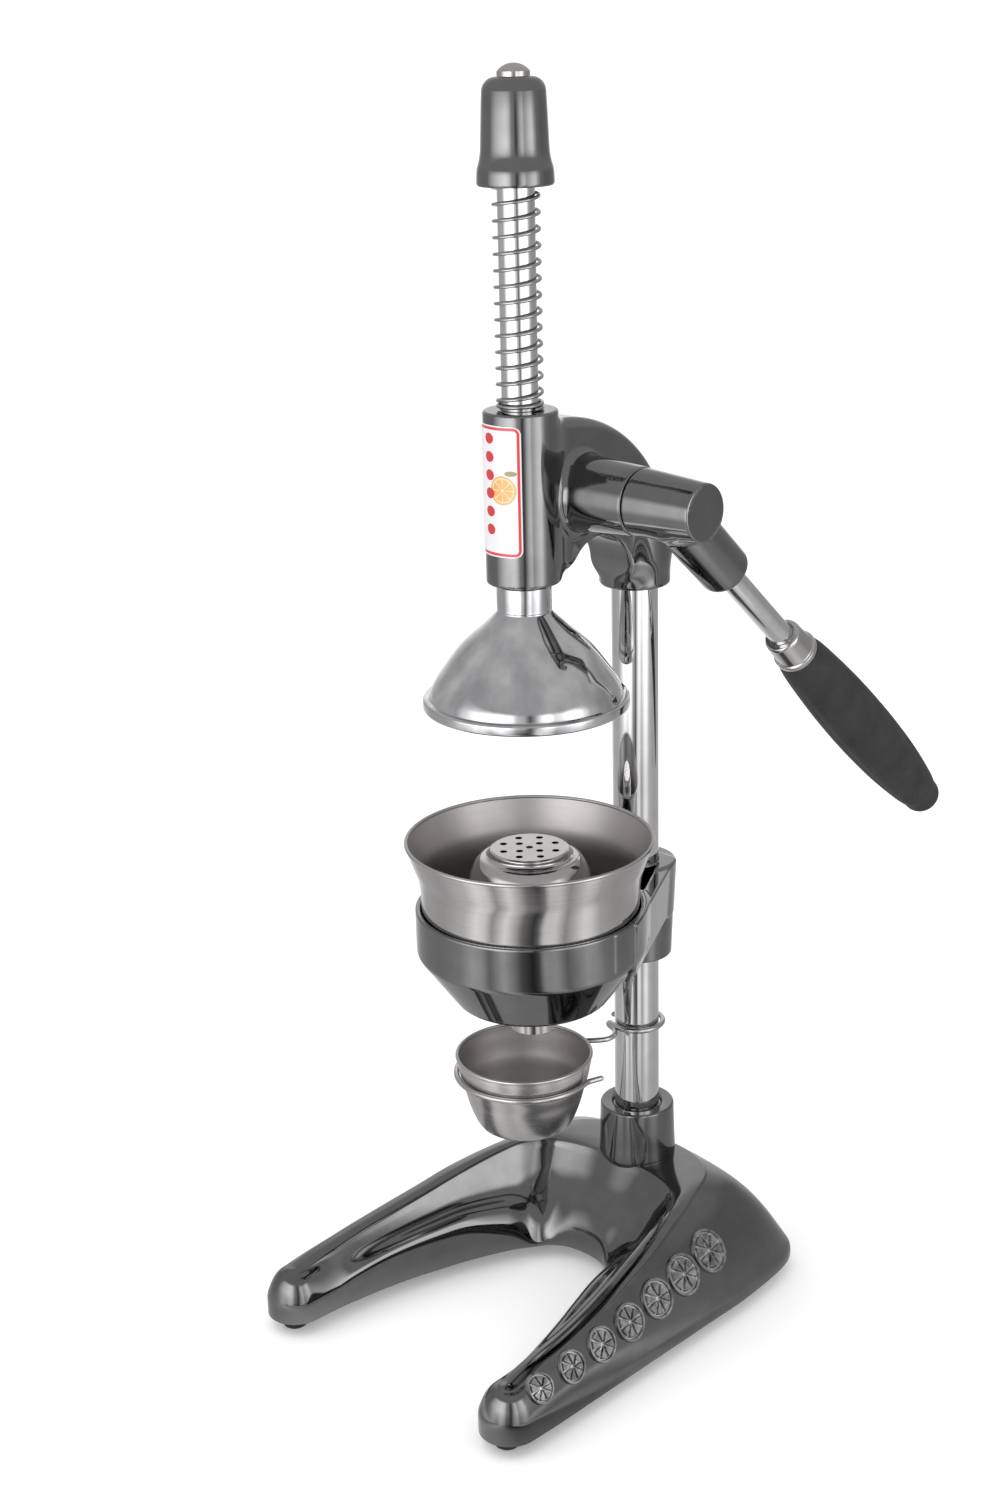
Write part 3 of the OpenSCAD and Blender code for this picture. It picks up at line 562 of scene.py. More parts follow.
# Inside faces of bowl, cup and reamer: a rougher satin finish, and a darker colour that is painted shade
# inside their hollows
satin_inside = turned_steel("satin_inside", (0.42, 0.405, 0.40), (0.48, 0.465, 0.46), 0.42, 0.05,
                            0.000003, ROUND)
buffed = turned_steel("buffed_steel", *SPUN, 0.085, 0.02, 0.000001, ROUND)
brushed = turned_steel("brushed_steel", (0.52, 0.505, 0.50), (0.60, 0.585, 0.58), 0.25, 0.03, 0.000002,
                       ROUND)
wire_steel = plated("wire_steel", (0.42, 0.41, 0.40), (0.5, 0.49, 0.48), 0.22, 0.00002)
machined = turned_steel("machined_steel", (0.40, 0.40, 0.40), (0.52, 0.52, 0.52), 0.3, 0.08, 0.00001,
                        (900, 5, 5))
black_oxide = plated("black_oxide", (0.02, 0.02, 0.022), (0.035, 0.035, 0.035), 0.42, 0.00002)
bronze = plated("sintered_bronze", (0.42, 0.27, 0.12), (0.5, 0.34, 0.17), 0.42, 0.00002)


def rubber(name, dark, light, rough, grain, scale):
    """Matt moulded rubber with a fine pebbled skin."""
    m = Nodes(name).set(Metallic=0.0, Specular_IOR_Level=0.35)
    speck = m.noise(scale, 5, rough=0.65)
    m.set(Base_Color=m.mix(m.spread(m.noise(70, 4), 0, 1), dark, light))
    m.set(Roughness=m.spread(speck, rough - 0.1, rough + 0.1))
    m.bump(speck, grain)
    return m.mat


rubber_grip = rubber("rubber_grip", (0.018, 0.018, 0.019), (0.030, 0.030, 0.031), 0.58, 0.00012, 900)
rubber_foot = rubber("rubber_foot", (0.010, 0.010, 0.010), (0.018, 0.018, 0.018), 0.6, 0.0001, 700)


# ---- camera, light and floor ----------------------------------------------------------------

VIEW_TURN = math.radians(44.2)  # from the front towards the lever's side
VIEW_DOWN = math.radians(18.89)
VIEW_ROLL = math.radians(-1.44)
VIEW_POINT = (0.7510, -0.8626, 0.6953)
LENS = 53.977

camera = bpy.data.objects.new("camera", bpy.data.cameras.new("camera"))
camera.data.lens = LENS
camera.data.sensor_width = 36
camera.data.clip_start = 0.02
turn_and_tip = Euler((math.pi / 2 - VIEW_DOWN, 0, VIEW_TURN)).to_matrix().to_4x4()
camera.matrix_world = Matrix.Translation(VIEW_POINT) @ turn_and_tip @ Matrix.Rotation(VIEW_ROLL, 4, "Z")
bpy.context.scene.collection.objects.link(camera)
bpy.context.scene.camera = camera
bpy.context.scene.view_settings.view_transform = "Standard"


def soft_sun():
    """Wide overhead light, for a soft shadow under the press."""
    light = bpy.data.lights.new("overhead", "SUN")
    light.energy = 0.5
    light.angle = math.radians(50)
    obj = bpy.data.objects.new("overhead", light)
    obj.rotation_euler = (math.radians(22), math.radians(-18), 0)
    bpy.context.scene.collection.objects.link(obj)


def white_room():
    """Even white light from all round."""
    world = bpy.data.worlds.new("white_room")
    bpy.context.scene.world = world
    world.use_nodes = True
    back = world.node_tree.nodes["Background"]
    back.inputs["Color"].default_value = (1, 1, 1, 1)
    back.inputs["Strength"].default_value = 1.0


# Brightness of the light tent's wall round the press: azimuth in degrees from +X, then level
TENT_WALLS = [
    (-180, 0.45), (-160, 0.5), (-132, 0.55), (-122, 1.2), (-110, 2.0), (-92, 2.8), (-78, 3.2),
    (-68, 2.6), (-60, 1.0), (-52, 0.7), (-46, 0.12), (-41, 0.5), (-32, 1.8), (-25, 2.3), (-19, 1.4),
    (-12, 1.7), (0, 2.5), (9, 2.6), (17, 1.4), (27, 0.6), (45, 0.4), (98, 0.4), (112, 1.0), (150, 1.1),
    (166, 0.7), (180, 0.45)]
# The same for the outer part of its floor
TENT_GROUND = [
    (-180, 0.55), (-140, 0.55), (-115, 0.8), (-103, 1.3), (-94, 1.1), (-87, 0.5), (-82, 0.8), (-75, 1.3),
    (-66, 0.7), (-60, 0.25), (-50, 0.05), (-45, 0.2), (-40, 1.0), (-30, 1.1), (-20, 0.45), (-10, 0.8),
    (0, 1.2), (8, 1.1), (20, 0.65), (45, 0.5), (90, 0.5), (110, 0.7), (150, 0.9), (168, 0.75), (180, 0.55)]
TENT_R = 0.90
TENT_WALL = 0.90
TENT_TOP = 0.57  # level of its roof
TENT_NEAR = 0.52  # level of its floor near the press
# Where one level blends into the next: distance from the middle, height, height
NEAR_TO_GROUND = (0.10, 0.30)
GROUND_TO_WALL = (0.0, 0.25)
WALL_TO_TOP = (TENT_WALL - 0.27, TENT_WALL - 0.05)


def light_tent():
    """Tent that shows only in reflections: lit and dark side panels under an even roof."""
    m = Nodes("tent_panels")
    m.tree.nodes.remove(m.shader)
    x, y, z = m.add("SeparateXYZ", Vector=m.place).outputs
    share = m.math("ADD", m.product(m.math("ARCTAN2", y, x), 0.5 / math.pi), 0.5)

    def ramp(stops):
        node = m.add("ValToRGB")
        m.put(node, 0, share)
        while len(node.color_ramp.elements) < len(stops):
            node.color_ramp.elements.new(0.5)
        for element, (degrees, level) in zip(node.color_ramp.elements, stops):
            element.position = (degrees + 180) / 360
            element.color = (level, level, level, 1)
        return node.outputs[0]

    def blend(value, limits, a, b):
        fac = m.spread(value, 0, 1, *limits)
        return m.math("ADD", m.product(a, m.opposite(fac)), m.product(b, fac))

    ground = blend(m.hypot(x, y), NEAR_TO_GROUND, TENT_NEAR, ramp(TENT_GROUND))
    wall = blend(z, GROUND_TO_WALL, ground, ramp(TENT_WALLS))
    level = blend(z, WALL_TO_TOP, wall, TENT_TOP)
    m.put(m.output, "Surface", m.add("Emission", Strength=level).outputs[0])
    arc = [(TENT_R * math.cos(a), TENT_WALL + TENT_R * math.sin(a))
           for a in np.linspace(0, math.pi / 2, 17)]
    arc[-1] = (0, arc[-1][1])
    verts, faces = lathe(np.array([(0, 0.0004), (TENT_R, 0.0004)] + arc), 96)
    mesh = bpy.data.meshes.new("light_tent")
    mesh.from_pydata(verts.tolist(), [], faces)
    mesh.materials.append(m.mat)
    obj = bpy.data.objects.new("light_tent", mesh)
    bpy.context.scene.collection.objects.link(obj)
    obj.visible_camera = False
    obj.visible_diffuse = False
    obj.visible_shadow = False
    obj.visible_transmission = False


def floor():
    """Plain white floor, a little lit by itself so that it meets the white background."""
    size = 80.0
    mesh = bpy.data.meshes.new("floor")
    mesh.from_pydata([(-size, -size, 0), (size, -size, 0), (size, size, 0), (-size, size, 0)], [],
                     [(0, 1, 2, 3)])
    m = Nodes("floor_white").set(Metallic=0.0, Roughness=0.9, Specular_IOR_Level=0.1)
    m.set(Emission_Color=(1, 1, 1, 1), Emission_Strength=0.16,
          Base_Color=m.mix(m.noise(3, 2), (0.93, 0.93, 0.93), (0.94, 0.94, 0.94)))
    mesh.materials.append(m.mat)
    obj = bpy.data.objects.new("floor", mesh)
    bpy.context.scene.collection.objects.link(obj)


soft_sun()
white_room()
light_tent()
floor()


# ---- base -----------------------------------------------------------------------------------

HALF_W = 97.0  # half the width over the legs
FOOT_H = 8.0  # height of the rubber feet
EDGE_Z = 13.0  # height of the outer edge
NOSE_EDGE = 18.5  # the same at the legs' rounded noses
LEG_Z = 34.0  # height of the noses
NOSE_R = 16.0
NOSE_X = HALF_W - NOSE_R - 0.5
NOSE_Y = -193.0
DECK_Z = 58.0  # height of the ridge round the column
# Each cross-section: plan points of inner edge, inner ridge, outer ridge and outer edge, then
# heights of the ridge and the inner skirt, the bulges of the inner and outer slopes, the size
# of the bead along the ridge's inner side and the height of the outer edge
SECTIONS = [
    [(0, -46), (0, -17), (0, 18), (0, 45), (DECK_Z, 22, -3, 7, 2.4, EDGE_Z)],
    [(12, -47.5), (22, -17), (26, 16), (36, 44.5), (DECK_Z, 21, -3, 8, 2.4, EDGE_Z)],
    [(21, -53), (44, -24), (47, 4), (72, 41), (DECK_Z, 13, -3, 10, 2.4, EDGE_Z)],
    [(26.5, -60.5), (54, -36), (58, -20), (90, 26), (DECK_Z - 0.5, 10.5, -5, 10, 2.6, EDGE_Z)],
    [(34, -72), (59, -52), (67, -46), (HALF_W - 0.5, -15), (DECK_Z - 2, 19, -7, 7, 2.6, EDGE_Z)],
    [(43.5, -94), (65, -81), (75, -76), (HALF_W, -58), (51.5, 27, -6, 6, 2.4, EDGE_Z)],
    [(50, -113.5), (69, -105), (79, -101), (HALF_W, -92), (47, 28, -4.5, 5, 2.2, EDGE_Z)],
    [(55.4, -132), (72, -127), (82, -125), (HALF_W, -120), (43.5, 27, -3, 5, 2.0, EDGE_Z)],
    [(59.5, -151), (74, -150), (84, -150), (HALF_W, -148), (40.5, 25, -1.5, 5, 1.6, EDGE_Z)],
    [(63, -175), (74.5, -175), (85, -175), (HALF_W, -175), (37.5, 21, 0.5, 4.5, 1.0, EDGE_Z + 3)],
    [(NOSE_X - NOSE_R, NOSE_Y), (NOSE_X - 5, NOSE_Y), (NOSE_X + 5, NOSE_Y), (NOSE_X + NOSE_R, NOSE_Y),
     (LEG_Z, NOSE_EDGE, 4, 4, 0.3, NOSE_EDGE)],
]
ACROSS = 8  # points of each stretch of the base's outline


def base_outline(inner, ridge_in, ridge_out, outer, heights):
    """Cross-section of the base as 3-D points, from the inner bottom edge to the outer one."""
    ridge, skirt, bulge_in, bulge_out, bead, edge = heights
    inner, ridge_in, ridge_out, outer = (np.array(p, float) for p in (inner, ridge_in, ridge_out, outer))

    def at(a, b, t, z):
        return np.array([*(a + (b - a) * t), z])

    def slope(top, low, z_top, z_low, bulges, lip):
        """Ridge corner, foot of its bead and two points down the slope to its lower edge."""
        t = lip / np.linalg.norm(low - top)
        foot = z_top - 1 - 1.6 * lip
        return [(at(top, low, 0, z_top - 1), 1.6), (at(top, low, t, foot), 1.4),
                *[(at(top, low, t + (1 - t) * u, foot + (z_low - foot) * u + bulge), 12)
                  for u, bulge in zip((0.35, 0.7), bulges)]]

    # The legs' inner slope is hollow above and rolls over into the skirt; the noses are plain
    roll, lower = (2.5, bulge_in) if bulge_in > 0 else (10, -0.5 * bulge_in)
    return [
        (at(inner, inner, 0, FOOT_H), 0), (at(inner, inner, 0, skirt), roll),
        *slope(ridge_in, inner, ridge, skirt, (bulge_in, lower), bead)[::-1],
        (at(ridge_in, ridge_out, 0.5, ridge), 8),
        *slope(ridge_out, outer, ridge, edge, (bulge_out, bulge_out), 0.3),
        (at(outer, outer, 0, edge), 2.5), (at(outer, outer, 0, FOOT_H), 0)]


def soft_corners(corners, n=ACROSS):
    """The corners rounded, n points each, as one row of the mesh."""
    out = [corners[0][0]]
    for i in range(1, len(corners) - 1):
        p, r = corners[i]
        a, b = corners[i - 1][0] - p, corners[i + 1][0] - p
        la, lb = max(np.linalg.norm(a), 1e-6), max(np.linalg.norm(b), 1e-6)
        start, end = p + a / la * min(r, 0.5 * la), p + b / lb * min(r, 0.5 * lb)
        for t in (np.arange(n) + 0.5) / n:
            out.append((1 - t) ** 2 * start + 2 * t * (1 - t) * p + t * t * end)
    out.append(corners[-1][0])
    return out


def base_rows(steps=9, nose_steps=16):
    """Rows of points across the base, from the middle of its rear to the end of the right leg."""
    flat = [[*[c for p in s[:4] for c in p], *s[4]] for s in SECTIONS]
    mirror = [-v if i in (0, 2, 4, 6) else v for i, v in enumerate(flat[1])]
    smooth = catmull([mirror] + flat, steps)[steps:]
    rows = []
    for s in smooth[:-1]:
        rows.append(soft_corners(base_outline(s[0:2], s[2:4], s[4:6], s[6:8], s[8:])))
    last = SECTIONS[-1]
    end = soft_corners(base_outline(*last))
    for t in np.linspace(0, math.pi / 2, nose_steps):
        row = []
        for p in end:
            side = 1 if p[0] >= NOSE_X else -1
            d = abs(p[0] - NOSE_X)
            row.append(np.array([NOSE_X + side * d * math.cos(t), NOSE_Y - max(d, 0.02) * math.sin(t),
                                 p[2]]))
        rows.append(row)
    return rows


def base_mesh():
    """The horseshoe, both legs."""
    right = base_rows()
    left = [[np.array([-p[0], p[1], p[2]]) for p in row] for row in right[:0:-1]]
    rows = left + right
    n = len(rows[0])
    last = len(rows) - 1
    verts = on_column(np.array([p for row in rows for p in row]))

    def at(i, k):
        return i * n + (min(k, n - 1 - k) if i in (0, last) else k)

    faces = []
    for i in range(last):
        for k in range(n):
            m = (k + 1) % n
            add_face(faces, at(i, k), at(i, m), at(i + 1, m), at(i + 1, k))
    return verts, outward(verts, faces)


def base_socket():
    """Socket that holds the column."""
    top = span("base_casting", 2)[1]
    outline = rounded([(12.6, 30), (17, 30), (18.5, DECK_Z - 6), (21.9, DECK_Z - 1.5, 2.5),
                       (21.4, DECK_Z + 8, 3), (20.8, top, 1.6), (14.4, top - 0.6, 1.2),
                       (13.6, top - 2.4, 0.4), (12.6, top - 2.6)], 6)
    [(verts, faces)] = shells([outline], 128)
    return on_column(verts), faces


SLICES = 7
SLICE_Y = (-167, -22)  # y of the first and the last of the row
SLICE_R = (8.2, 12.6)
SLICE_WEDGES = 8
SLICE_RIM = (0.82, 0.97)  # as shares of its radius
SLICE_PULP = (0.14, 0.74)
SLICE_GAP = 0.055  # half the gap between two wedges
SLICE_GROUND = 0.25  # height of its ground and of its relief
SLICE_RELIEF = 1.25


def medallion(centre, along, up, normal, radius, ground):
    """Plain round citrus slice in low relief, laid on the casting: a rim and eight wedges."""
    rings, turns = 26, 96
    verts, faces = [], []

    def height(rho, angle):
        raised_here = SLICE_RIM[0] < rho < SLICE_RIM[1]
        if SLICE_PULP[0] < rho < SLICE_PULP[1]:
            share = (angle / (2 * math.pi) * SLICE_WEDGES) % 1
            raised_here = min(share, 1 - share) * 2 * math.pi / SLICE_WEDGES * rho > SLICE_GAP
        return SLICE_RELIEF * raised_here + SLICE_GROUND

    for i in range(rings + 1):
        rho = i / rings
        for j in range(turns):
            a = 2 * math.pi * j / turns
            h = -1.2 if i == rings else height(rho, a)
            p = centre + radius * rho * (math.cos(a) * along + math.sin(a) * up)
            hit = ground.ray_cast(Vector(p + 12 * normal), Vector(-normal), 24)[0]
            verts.append(np.array(p if hit is None else hit) + h * normal)
    for i in range(rings):
        for j in range(turns):
            k = (j + 1) % turns
            faces.append([i * turns + j, (i + 1) * turns + j, (i + 1) * turns + k, i * turns + k])
    return np.array(verts), faces


def medallions():
    """A row of slices on the right leg's outer face."""
    verts, faces = base_mesh()
    ground = BVHTree.FromPolygons(verts.tolist(), faces)
    rows = base_rows()
    n = len(rows[0])
    outer = np.array([row[n - 3 * ACROSS - 2:n - ACROSS - 1] for row in rows])
    outer[:, :, 1] += COL_Y
    k = outer.shape[1] // 2
    mid = outer[:, k]
    run = np.r_[0, np.cumsum(np.linalg.norm(np.diff(mid, axis=0), axis=1))]
    first, last = (run[int(np.argmin(np.abs(mid[:, 1] - y)))] for y in SLICE_Y)
    parts = []
    for share in np.arange(SLICES) / (SLICES - 1):
        r = int(np.argmin(np.abs(run - (first + (last - first) * share))))
        along = outer[r + 1, k] - outer[r - 1, k]
        up = outer[r, k - 3] - outer[r, k + 3]
        along /= np.linalg.norm(along)
        up -= np.dot(up, along) * along
        up /= np.linalg.norm(up)
        normal = np.cross(along, up)
        if normal[0] < 0:
            normal = -normal
        radius = SLICE_R[0] + (SLICE_R[1] - SLICE_R[0]) * share
        parts.append(medallion(outer[r, k], along, up, normal, radius, ground))
    return joined(*parts)


piece("base", *joined(base_mesh(), base_socket()), nickel_base, "stand", "nickel_base", ["base_casting"],
      sharp=50)
piece("base_slices", *medallions(), relief, "stand", "nickel_base", sharp=40)


def feet():
    """Four rubber feet, each with a recess for its screw."""
    outline = rounded([(2.1, FOOT_H + 0.5), (2.1, 3), (3.9, 3), (3.9, 0, 0.3), (6.5, 0, 1),
                       (7, FOOT_H + 0.5)], 5)
    [(verts, faces)] = shells([outline], 48)
    return joined(*[(verts + np.array([x, y + COL_Y, 0]), faces)
                    for x, y in ((80.4, -195), (-80.4, -195), (66, 12), (-66, 12))])


piece("feet", *feet(), rubber_foot, "stand", "rubber_black", ["rubber_feet"])

# ---- column, small fasteners ----------------------------------------------------------------

tube_low, tube_top = span("column_tube", 2)
turned("column", rounded([(11, tube_low), (12.5, tube_low, 0.4), (12.5, tube_top, 0.4), (11, tube_top)]),
       on_column, chrome, "stand", "chrome", ["column_tube"], n=160)
for body, mat, slot, copied in [
        ("stand", machined, "steel", ["foot_screws"]),
        ("stand", black_oxide, "black_screw", ["socket_set_screw", "head_set_screw", "holder_set_screw"]),
        ("lever", black_oxide, "black_screw", ["hub_set_screw"]),
        ("stand", bronze, "bronze", ["shaft_bush"]),
        ("stand", nickel_head, "nickel_head", ["gear_cover"]),
        ("stand", machined, "steel", ["cover_screws"]),
        ("ram", machined, "steel", ["bell_screw"]),
        ("lever", machined, "steel", ["pinion_gear", "pinion_shaft", "gear_key", "shaft_clip"])]:
    for node in copied:
        cad_copy(node, mat, body, slot)

# ---- head -----------------------------------------------------------------------------------

BARREL_LOW = 410.7
BARREL_TOP = 497.2
BARREL_R = 18.8
SEAM_X = 54.8  # seam between the shaft barrel and the lever's hub
HUB_END = 93.8
BOSS_R, BOSS_LOW, BOSS_TOP = 18.9, 392.5, 445  # boss on the column
HOOD_Y, HOOD_Z, HOOD_R = -67, 406.6, 84  # round back of the gear hood, y from the column
HOOD_HALF, HOOD_ROUND = 14, 6.5  # half its thickness, and its edge
ARCH_Y, ARCH_Z, ARCH_R = -42.5, 405, 23  # open arch under the hood
GEAR_R, GEAR_X = 23.6, 7.5  # pocket of the pinion, and its right end
COVER_R, COVER_X = 30, -18.5  # seat of the gear cover
AXLE_R, PAD_R = 19.2, 29.5  # the shaft's barrel and the pad round the pinion


def head_field(x, y, z):
    """Rack head: barrel, column boss and hood, the shaft's barrel and the gear pad, less the bores."""
    yc = y - COL_Y
    ram = np.hypot(x, yc + REACH)
    col = np.hypot(x, yc)
    axle = np.hypot(y - SHAFT_Y, z - SHAFT_Z)
    barrel = can(ram, z, BARREL_LOW, BARREL_TOP, BARREL_R, 1.3)
    boss = np.minimum(can(col, z, BOSS_LOW, 436, BOSS_R, 2.2), can(col, z, 400, BOSS_TOP, BOSS_R, 9))
    disc = np.hypot(yc - HOOD_Y, z - HOOD_Z) - HOOD_R
    lean = ((yc - 6) * 26 - (z - 402) * 24) / 35.38
    low = np.where(yc < ARCH_Y, 414 - z, 402 - z)
    plan = np.maximum(np.maximum(disc, lean), np.maximum(low, -(yc + REACH)))
    hood = can(plan, x, -HOOD_HALF, HOOD_HALF, 0, HOOD_ROUND)
    taper = 1.9 * np.clip((x - 15) / 39, 0, 1)
    axis = can(axle + taper, x, 0, 54.3, AXLE_R, 1.0)
    pad = can(axle, x, COVER_X, 0, PAD_R, 1.0)
    body = smin(smin(barrel, hood, 7), smin(boss, hood, 9), 1)
    body = smin(smin(body, axis, 6), pad, 4)
    arch = np.where(z > ARCH_Z, np.hypot(yc - ARCH_Y, z - ARCH_Z), np.abs(yc - ARCH_Y)) - ARCH_R
    body = smax(body, -arch, 2.2)
    body = smax(body, -np.maximum(col - COLUMN_HOLE, z - 436.5), 1.2)
    body = smax(body, RAM_HOLE - ram, 1.2)
    body = smax(body, -np.maximum(axle - BUSH_HOLE, GEAR_X - x), 0.8)
    body = smax(body, -np.maximum(axle - COVER_R, x - COVER_X), 0.6)
    return smax(body, -np.maximum(axle - GEAR_R, x - GEAR_X), 0.8)


cast("head", head_field, (-20, RAM_Y - 20.5, 390.5), (56, COL_Y + 21, 499), 0.9, nickel_head, "stand",
     "nickel_head", ["head_casting"])


FILM_LOW, FILM_TOP = 427.0, 492.0
FILM_R = 19.02  # radius it is wrapped to
FILM_W = math.radians(43.5) * FILM_R  # half its width and height, flat
FILM_H = (FILM_TOP - FILM_LOW) / 2
FILM_CORNER = 4.0


def label_mesh():
    """Thin film wrapped round the barrel, with its flat coordinates for each point."""
    radius, cols, rows, r = FILM_R, 40, 60, FILM_CORNER
    verts, uvs, faces = [], [], []
    for lift in (0.0, 0.2):
        for j in range(rows + 1):
            v = -FILM_H + 2 * FILM_H * j / rows
            over = max(abs(v) - (FILM_H - r), 0)
            w = FILM_W - r + math.sqrt(max(r * r - over * over, 0))
            for i in range(cols + 1):
                u = w * (2 * i / cols - 1)
                a = u / radius - math.pi / 2
                rr = radius + lift
                verts.append((rr * math.cos(a), RAM_Y + rr * math.sin(a), FILM_LOW + FILM_H + v))
                uvs.append((u, v))
    count = (cols + 1) * (rows + 1)
    for j in range(rows):
        for i in range(cols):
            a = j * (cols + 1) + i
            b = a + cols + 1
            faces.append([a + count, a + 1 + count, b + 1 + count, b + count])
            faces.append([a, b, b + 1, a + 1])
    rim = ([i for i in range(cols + 1)] + [j * (cols + 1) + cols for j in range(1, rows + 1)]
           + [rows * (cols + 1) + i for i in range(cols - 1, -1, -1)]
           + [j * (cols + 1) for j in range(rows - 1, 0, -1)])
    for k, a in enumerate(rim):
        b = rim[(k + 1) % len(rim)]
        faces.append([a, b, b + count, a + count])
    return np.array(verts), faces, uvs


def label_material():
    """Printed film: white field, red border, a plain orange slice and a row of red drops."""
    m = Nodes("label_film").set(Metallic=0.0, Roughness=0.22, Coat_Weight=0.5)
    flat = m.add("UVMap")
    flat.uv_map = "film"
    u, v = m.add("SeparateXYZ", Vector=flat.outputs[0]).outputs[:2]

    def distance(cu, cv, su=1.0, sv=1.0):
        return m.hypot(m.product(m.math("SUBTRACT", u, cu), su),
                       m.product(m.math("SUBTRACT", v, cv), sv))

    def below(value, limit, soft=0.12):
        return m.spread(value, 1, 0, limit - soft, limit + soft)

    def beyond(value, limit):
        return m.math("MAXIMUM", m.math("SUBTRACT", m.math("ABSOLUTE", value), limit), 0)

    # Distance from the edge of the film, inwards
    corner = FILM_CORNER
    edge = m.math("SUBTRACT", corner,
                  m.hypot(beyond(u, FILM_W - corner), beyond(v, FILM_H - corner)))
    border = m.product(below(edge, 2.1), m.opposite(below(edge, 0.7)))
    paper = m.mix(m.noise(400, 3), (0.80, 0.80, 0.83), (0.86, 0.86, 0.89))
    fruit_u, fruit_v, fruit_r = 4.5, 1.0, 7.2
    fruit = distance(fruit_u, fruit_v)
    turn = m.math("ARCTAN2", m.math("SUBTRACT", v, fruit_v), m.math("SUBTRACT", u, fruit_u))
    spoke = m.math("ABSOLUTE", m.math("SINE", m.product(turn, 4)))
    pulp = m.product(below(fruit, 5.6), m.opposite(below(fruit, 0.8)),
                     m.opposite(below(spoke, 0.22, 0.06)))
    rind = m.product(below(fruit, fruit_r), m.opposite(below(fruit, 6.2)))
    col = m.mix(below(fruit, fruit_r), paper, (0.86, 0.70, 0.46))
    col = m.mix(m.math("MAXIMUM", pulp, rind), col, (0.80, 0.42, 0.12))
    leaf = distance(9.0, 9.5, 0.5, 1.2)
    col = m.mix(below(leaf, 1.6), col, (0.32, 0.26, 0.10))
    # Drops 9 apart in a column, as far as they are clear of the border
    wrapped = m.math("SUBTRACT", m.math("MODULO", m.math("ADD", v, 41.5), 9.0), 4.5)
    drop = m.hypot(m.product(m.math("SUBTRACT", u, -3.5), 0.85), wrapped)
    inside = m.math("LESS_THAN", m.math("ABSOLUTE", m.math("SUBTRACT", v, 3.5)), 27)
    col = m.mix(m.product(below(drop, 2.7), inside), col, (0.62, 0.02, 0.03))
    col = m.mix(border, col, (0.70, 0.03, 0.04))
    m.set(Base_Color=col)
    m.bump(m.noise(900, 2), 0.00001)
    return m.mat


verts, faces, uvs = label_mesh()
label = piece("label", verts, faces, label_material(), "stand", "label", ["front_label"], sharp=60)
layer = label.data.uv_layers.new(name="film")
for loop in label.data.loops:
    layer.data[loop.index].uv = uvs[loop.vertex_index]


# ---- spring, ram, cap, bell -----------------------------------------------------------------

CAP_LOW = span("ram_cap", 2)[0]
SPRING_R = 11
SPRING_WIRE = 1.8


def spring_path():
    """Coil from the barrel's top into the cap: closed turns first, then open ones."""
    turns, hidden, closed, steps = 13.25, 5, 1.5, 40
    pitch = (CAP_LOW - BARREL_TOP - 2 * SPRING_WIRE) / turns
    tight = SPRING_WIRE * 1.02
    out = []
    for t in np.arange(0, (closed + turns + hidden) * steps + 1) / steps:
        rise = min(t, closed) * tight + max(t - closed, 0) * pitch
        a = 2 * math.pi * t
        out.append((SPRING_R * math.cos(a), RAM_Y + SPRING_R * math.sin(a),
                    BARREL_TOP + SPRING_WIRE / 2 + 0.1 + rise))
    return out


spring = piece("spring", *sweep(spring_path(), SPRING_WIRE / 2, 12), spring_wire, "stand", "chrome",
               ["return_spring"])
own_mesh(spring)

cad_copy("ram_rod", chrome_rod, "ram", "chrome", sharp=28)

CAP_SEAT = CAP_LOW + 49.5
CAP_ROUND = 7
cap = np.vstack([
    rounded(up_from(CAP_LOW, [(0, 40), (13, 40), (14.4, 0, 0.6), (18.2, 0, 0.8), (18.75, 1.2, 0.8)])),
    catmull(up_from(CAP_LOW, [(18.75, 2.2), (18.4, 7.5), (17.3, 11.7), (16.6, 16.2), (16.2, 25),
                              (15.75, 36)]), 6),
    [(8.4 + CAP_ROUND * math.cos(a), CAP_SEAT - CAP_ROUND + CAP_ROUND * math.sin(a))
     for a in np.linspace(0.09, math.pi / 2, 14)],
    [(0, CAP_SEAT)]])
turned("cap", cap, on_ram, nickel_head, "ram", "nickel_head", ["ram_cap"], closed=False, n=160)
DOME_R = 10.32
DOME_SUNK = 4.32  # how far the dome's centre lies under the nut's foot
nut = [(0, 0), (8, 0), (8, 1.8)] + [(DOME_R * math.cos(a), DOME_R * math.sin(a) - DOME_SUNK)
                                  for a in np.radians(np.linspace(39.2, 90, 14))]
nut[-1] = (0, nut[-1][1])
turned("nut", up_from(CAP_SEAT + 0.1, nut), on_ram, satin, "ram", "chrome", ["cap_nut"], n=96,
       closed=False)

NECK = BARREL_LOW - 0.5
BELL_LOW = span("press_bell", 2)[0]
bell_out = catmull([*up_from(NECK, [(14, -13), (14.6, -15.2), (21.3, -21.7), (28, -27.6), (33.5, -32.9),
                                    (37.5, -37.8), (41.2, -43), (45, -48.4), (48.2, -54.2)]),
                    (49.2, BELL_LOW + 6.9)], 6)
bell_in = beside(bell_out, 2.5)
bell_in = bell_in[(bell_in[:, 0] > 19) & (bell_in[:, 1] > BELL_LOW + 7)]
bell = np.vstack([
    rounded([(9.23, NECK), (13, NECK, 0.3), (14, NECK - 1, 0.6), (14, NECK - 12)], 4), bell_out,
    rounded(up_from(BELL_LOW, [(49.6, 6, 0.5), (52, 5.8, 1), (52.8, 4.9, 0.8), (52.8, 1, 1), (51.6, 0, 1),
                               (50.2, 0, 0.6), (49.2, 3, 1)]), 5),
    bell_in[::-1], [(19, 387.6), (9.23, 387.6)]])
turned("bell", bell, on_ram, bell_chrome, "ram", "chrome", ["press_bell"], n=192)


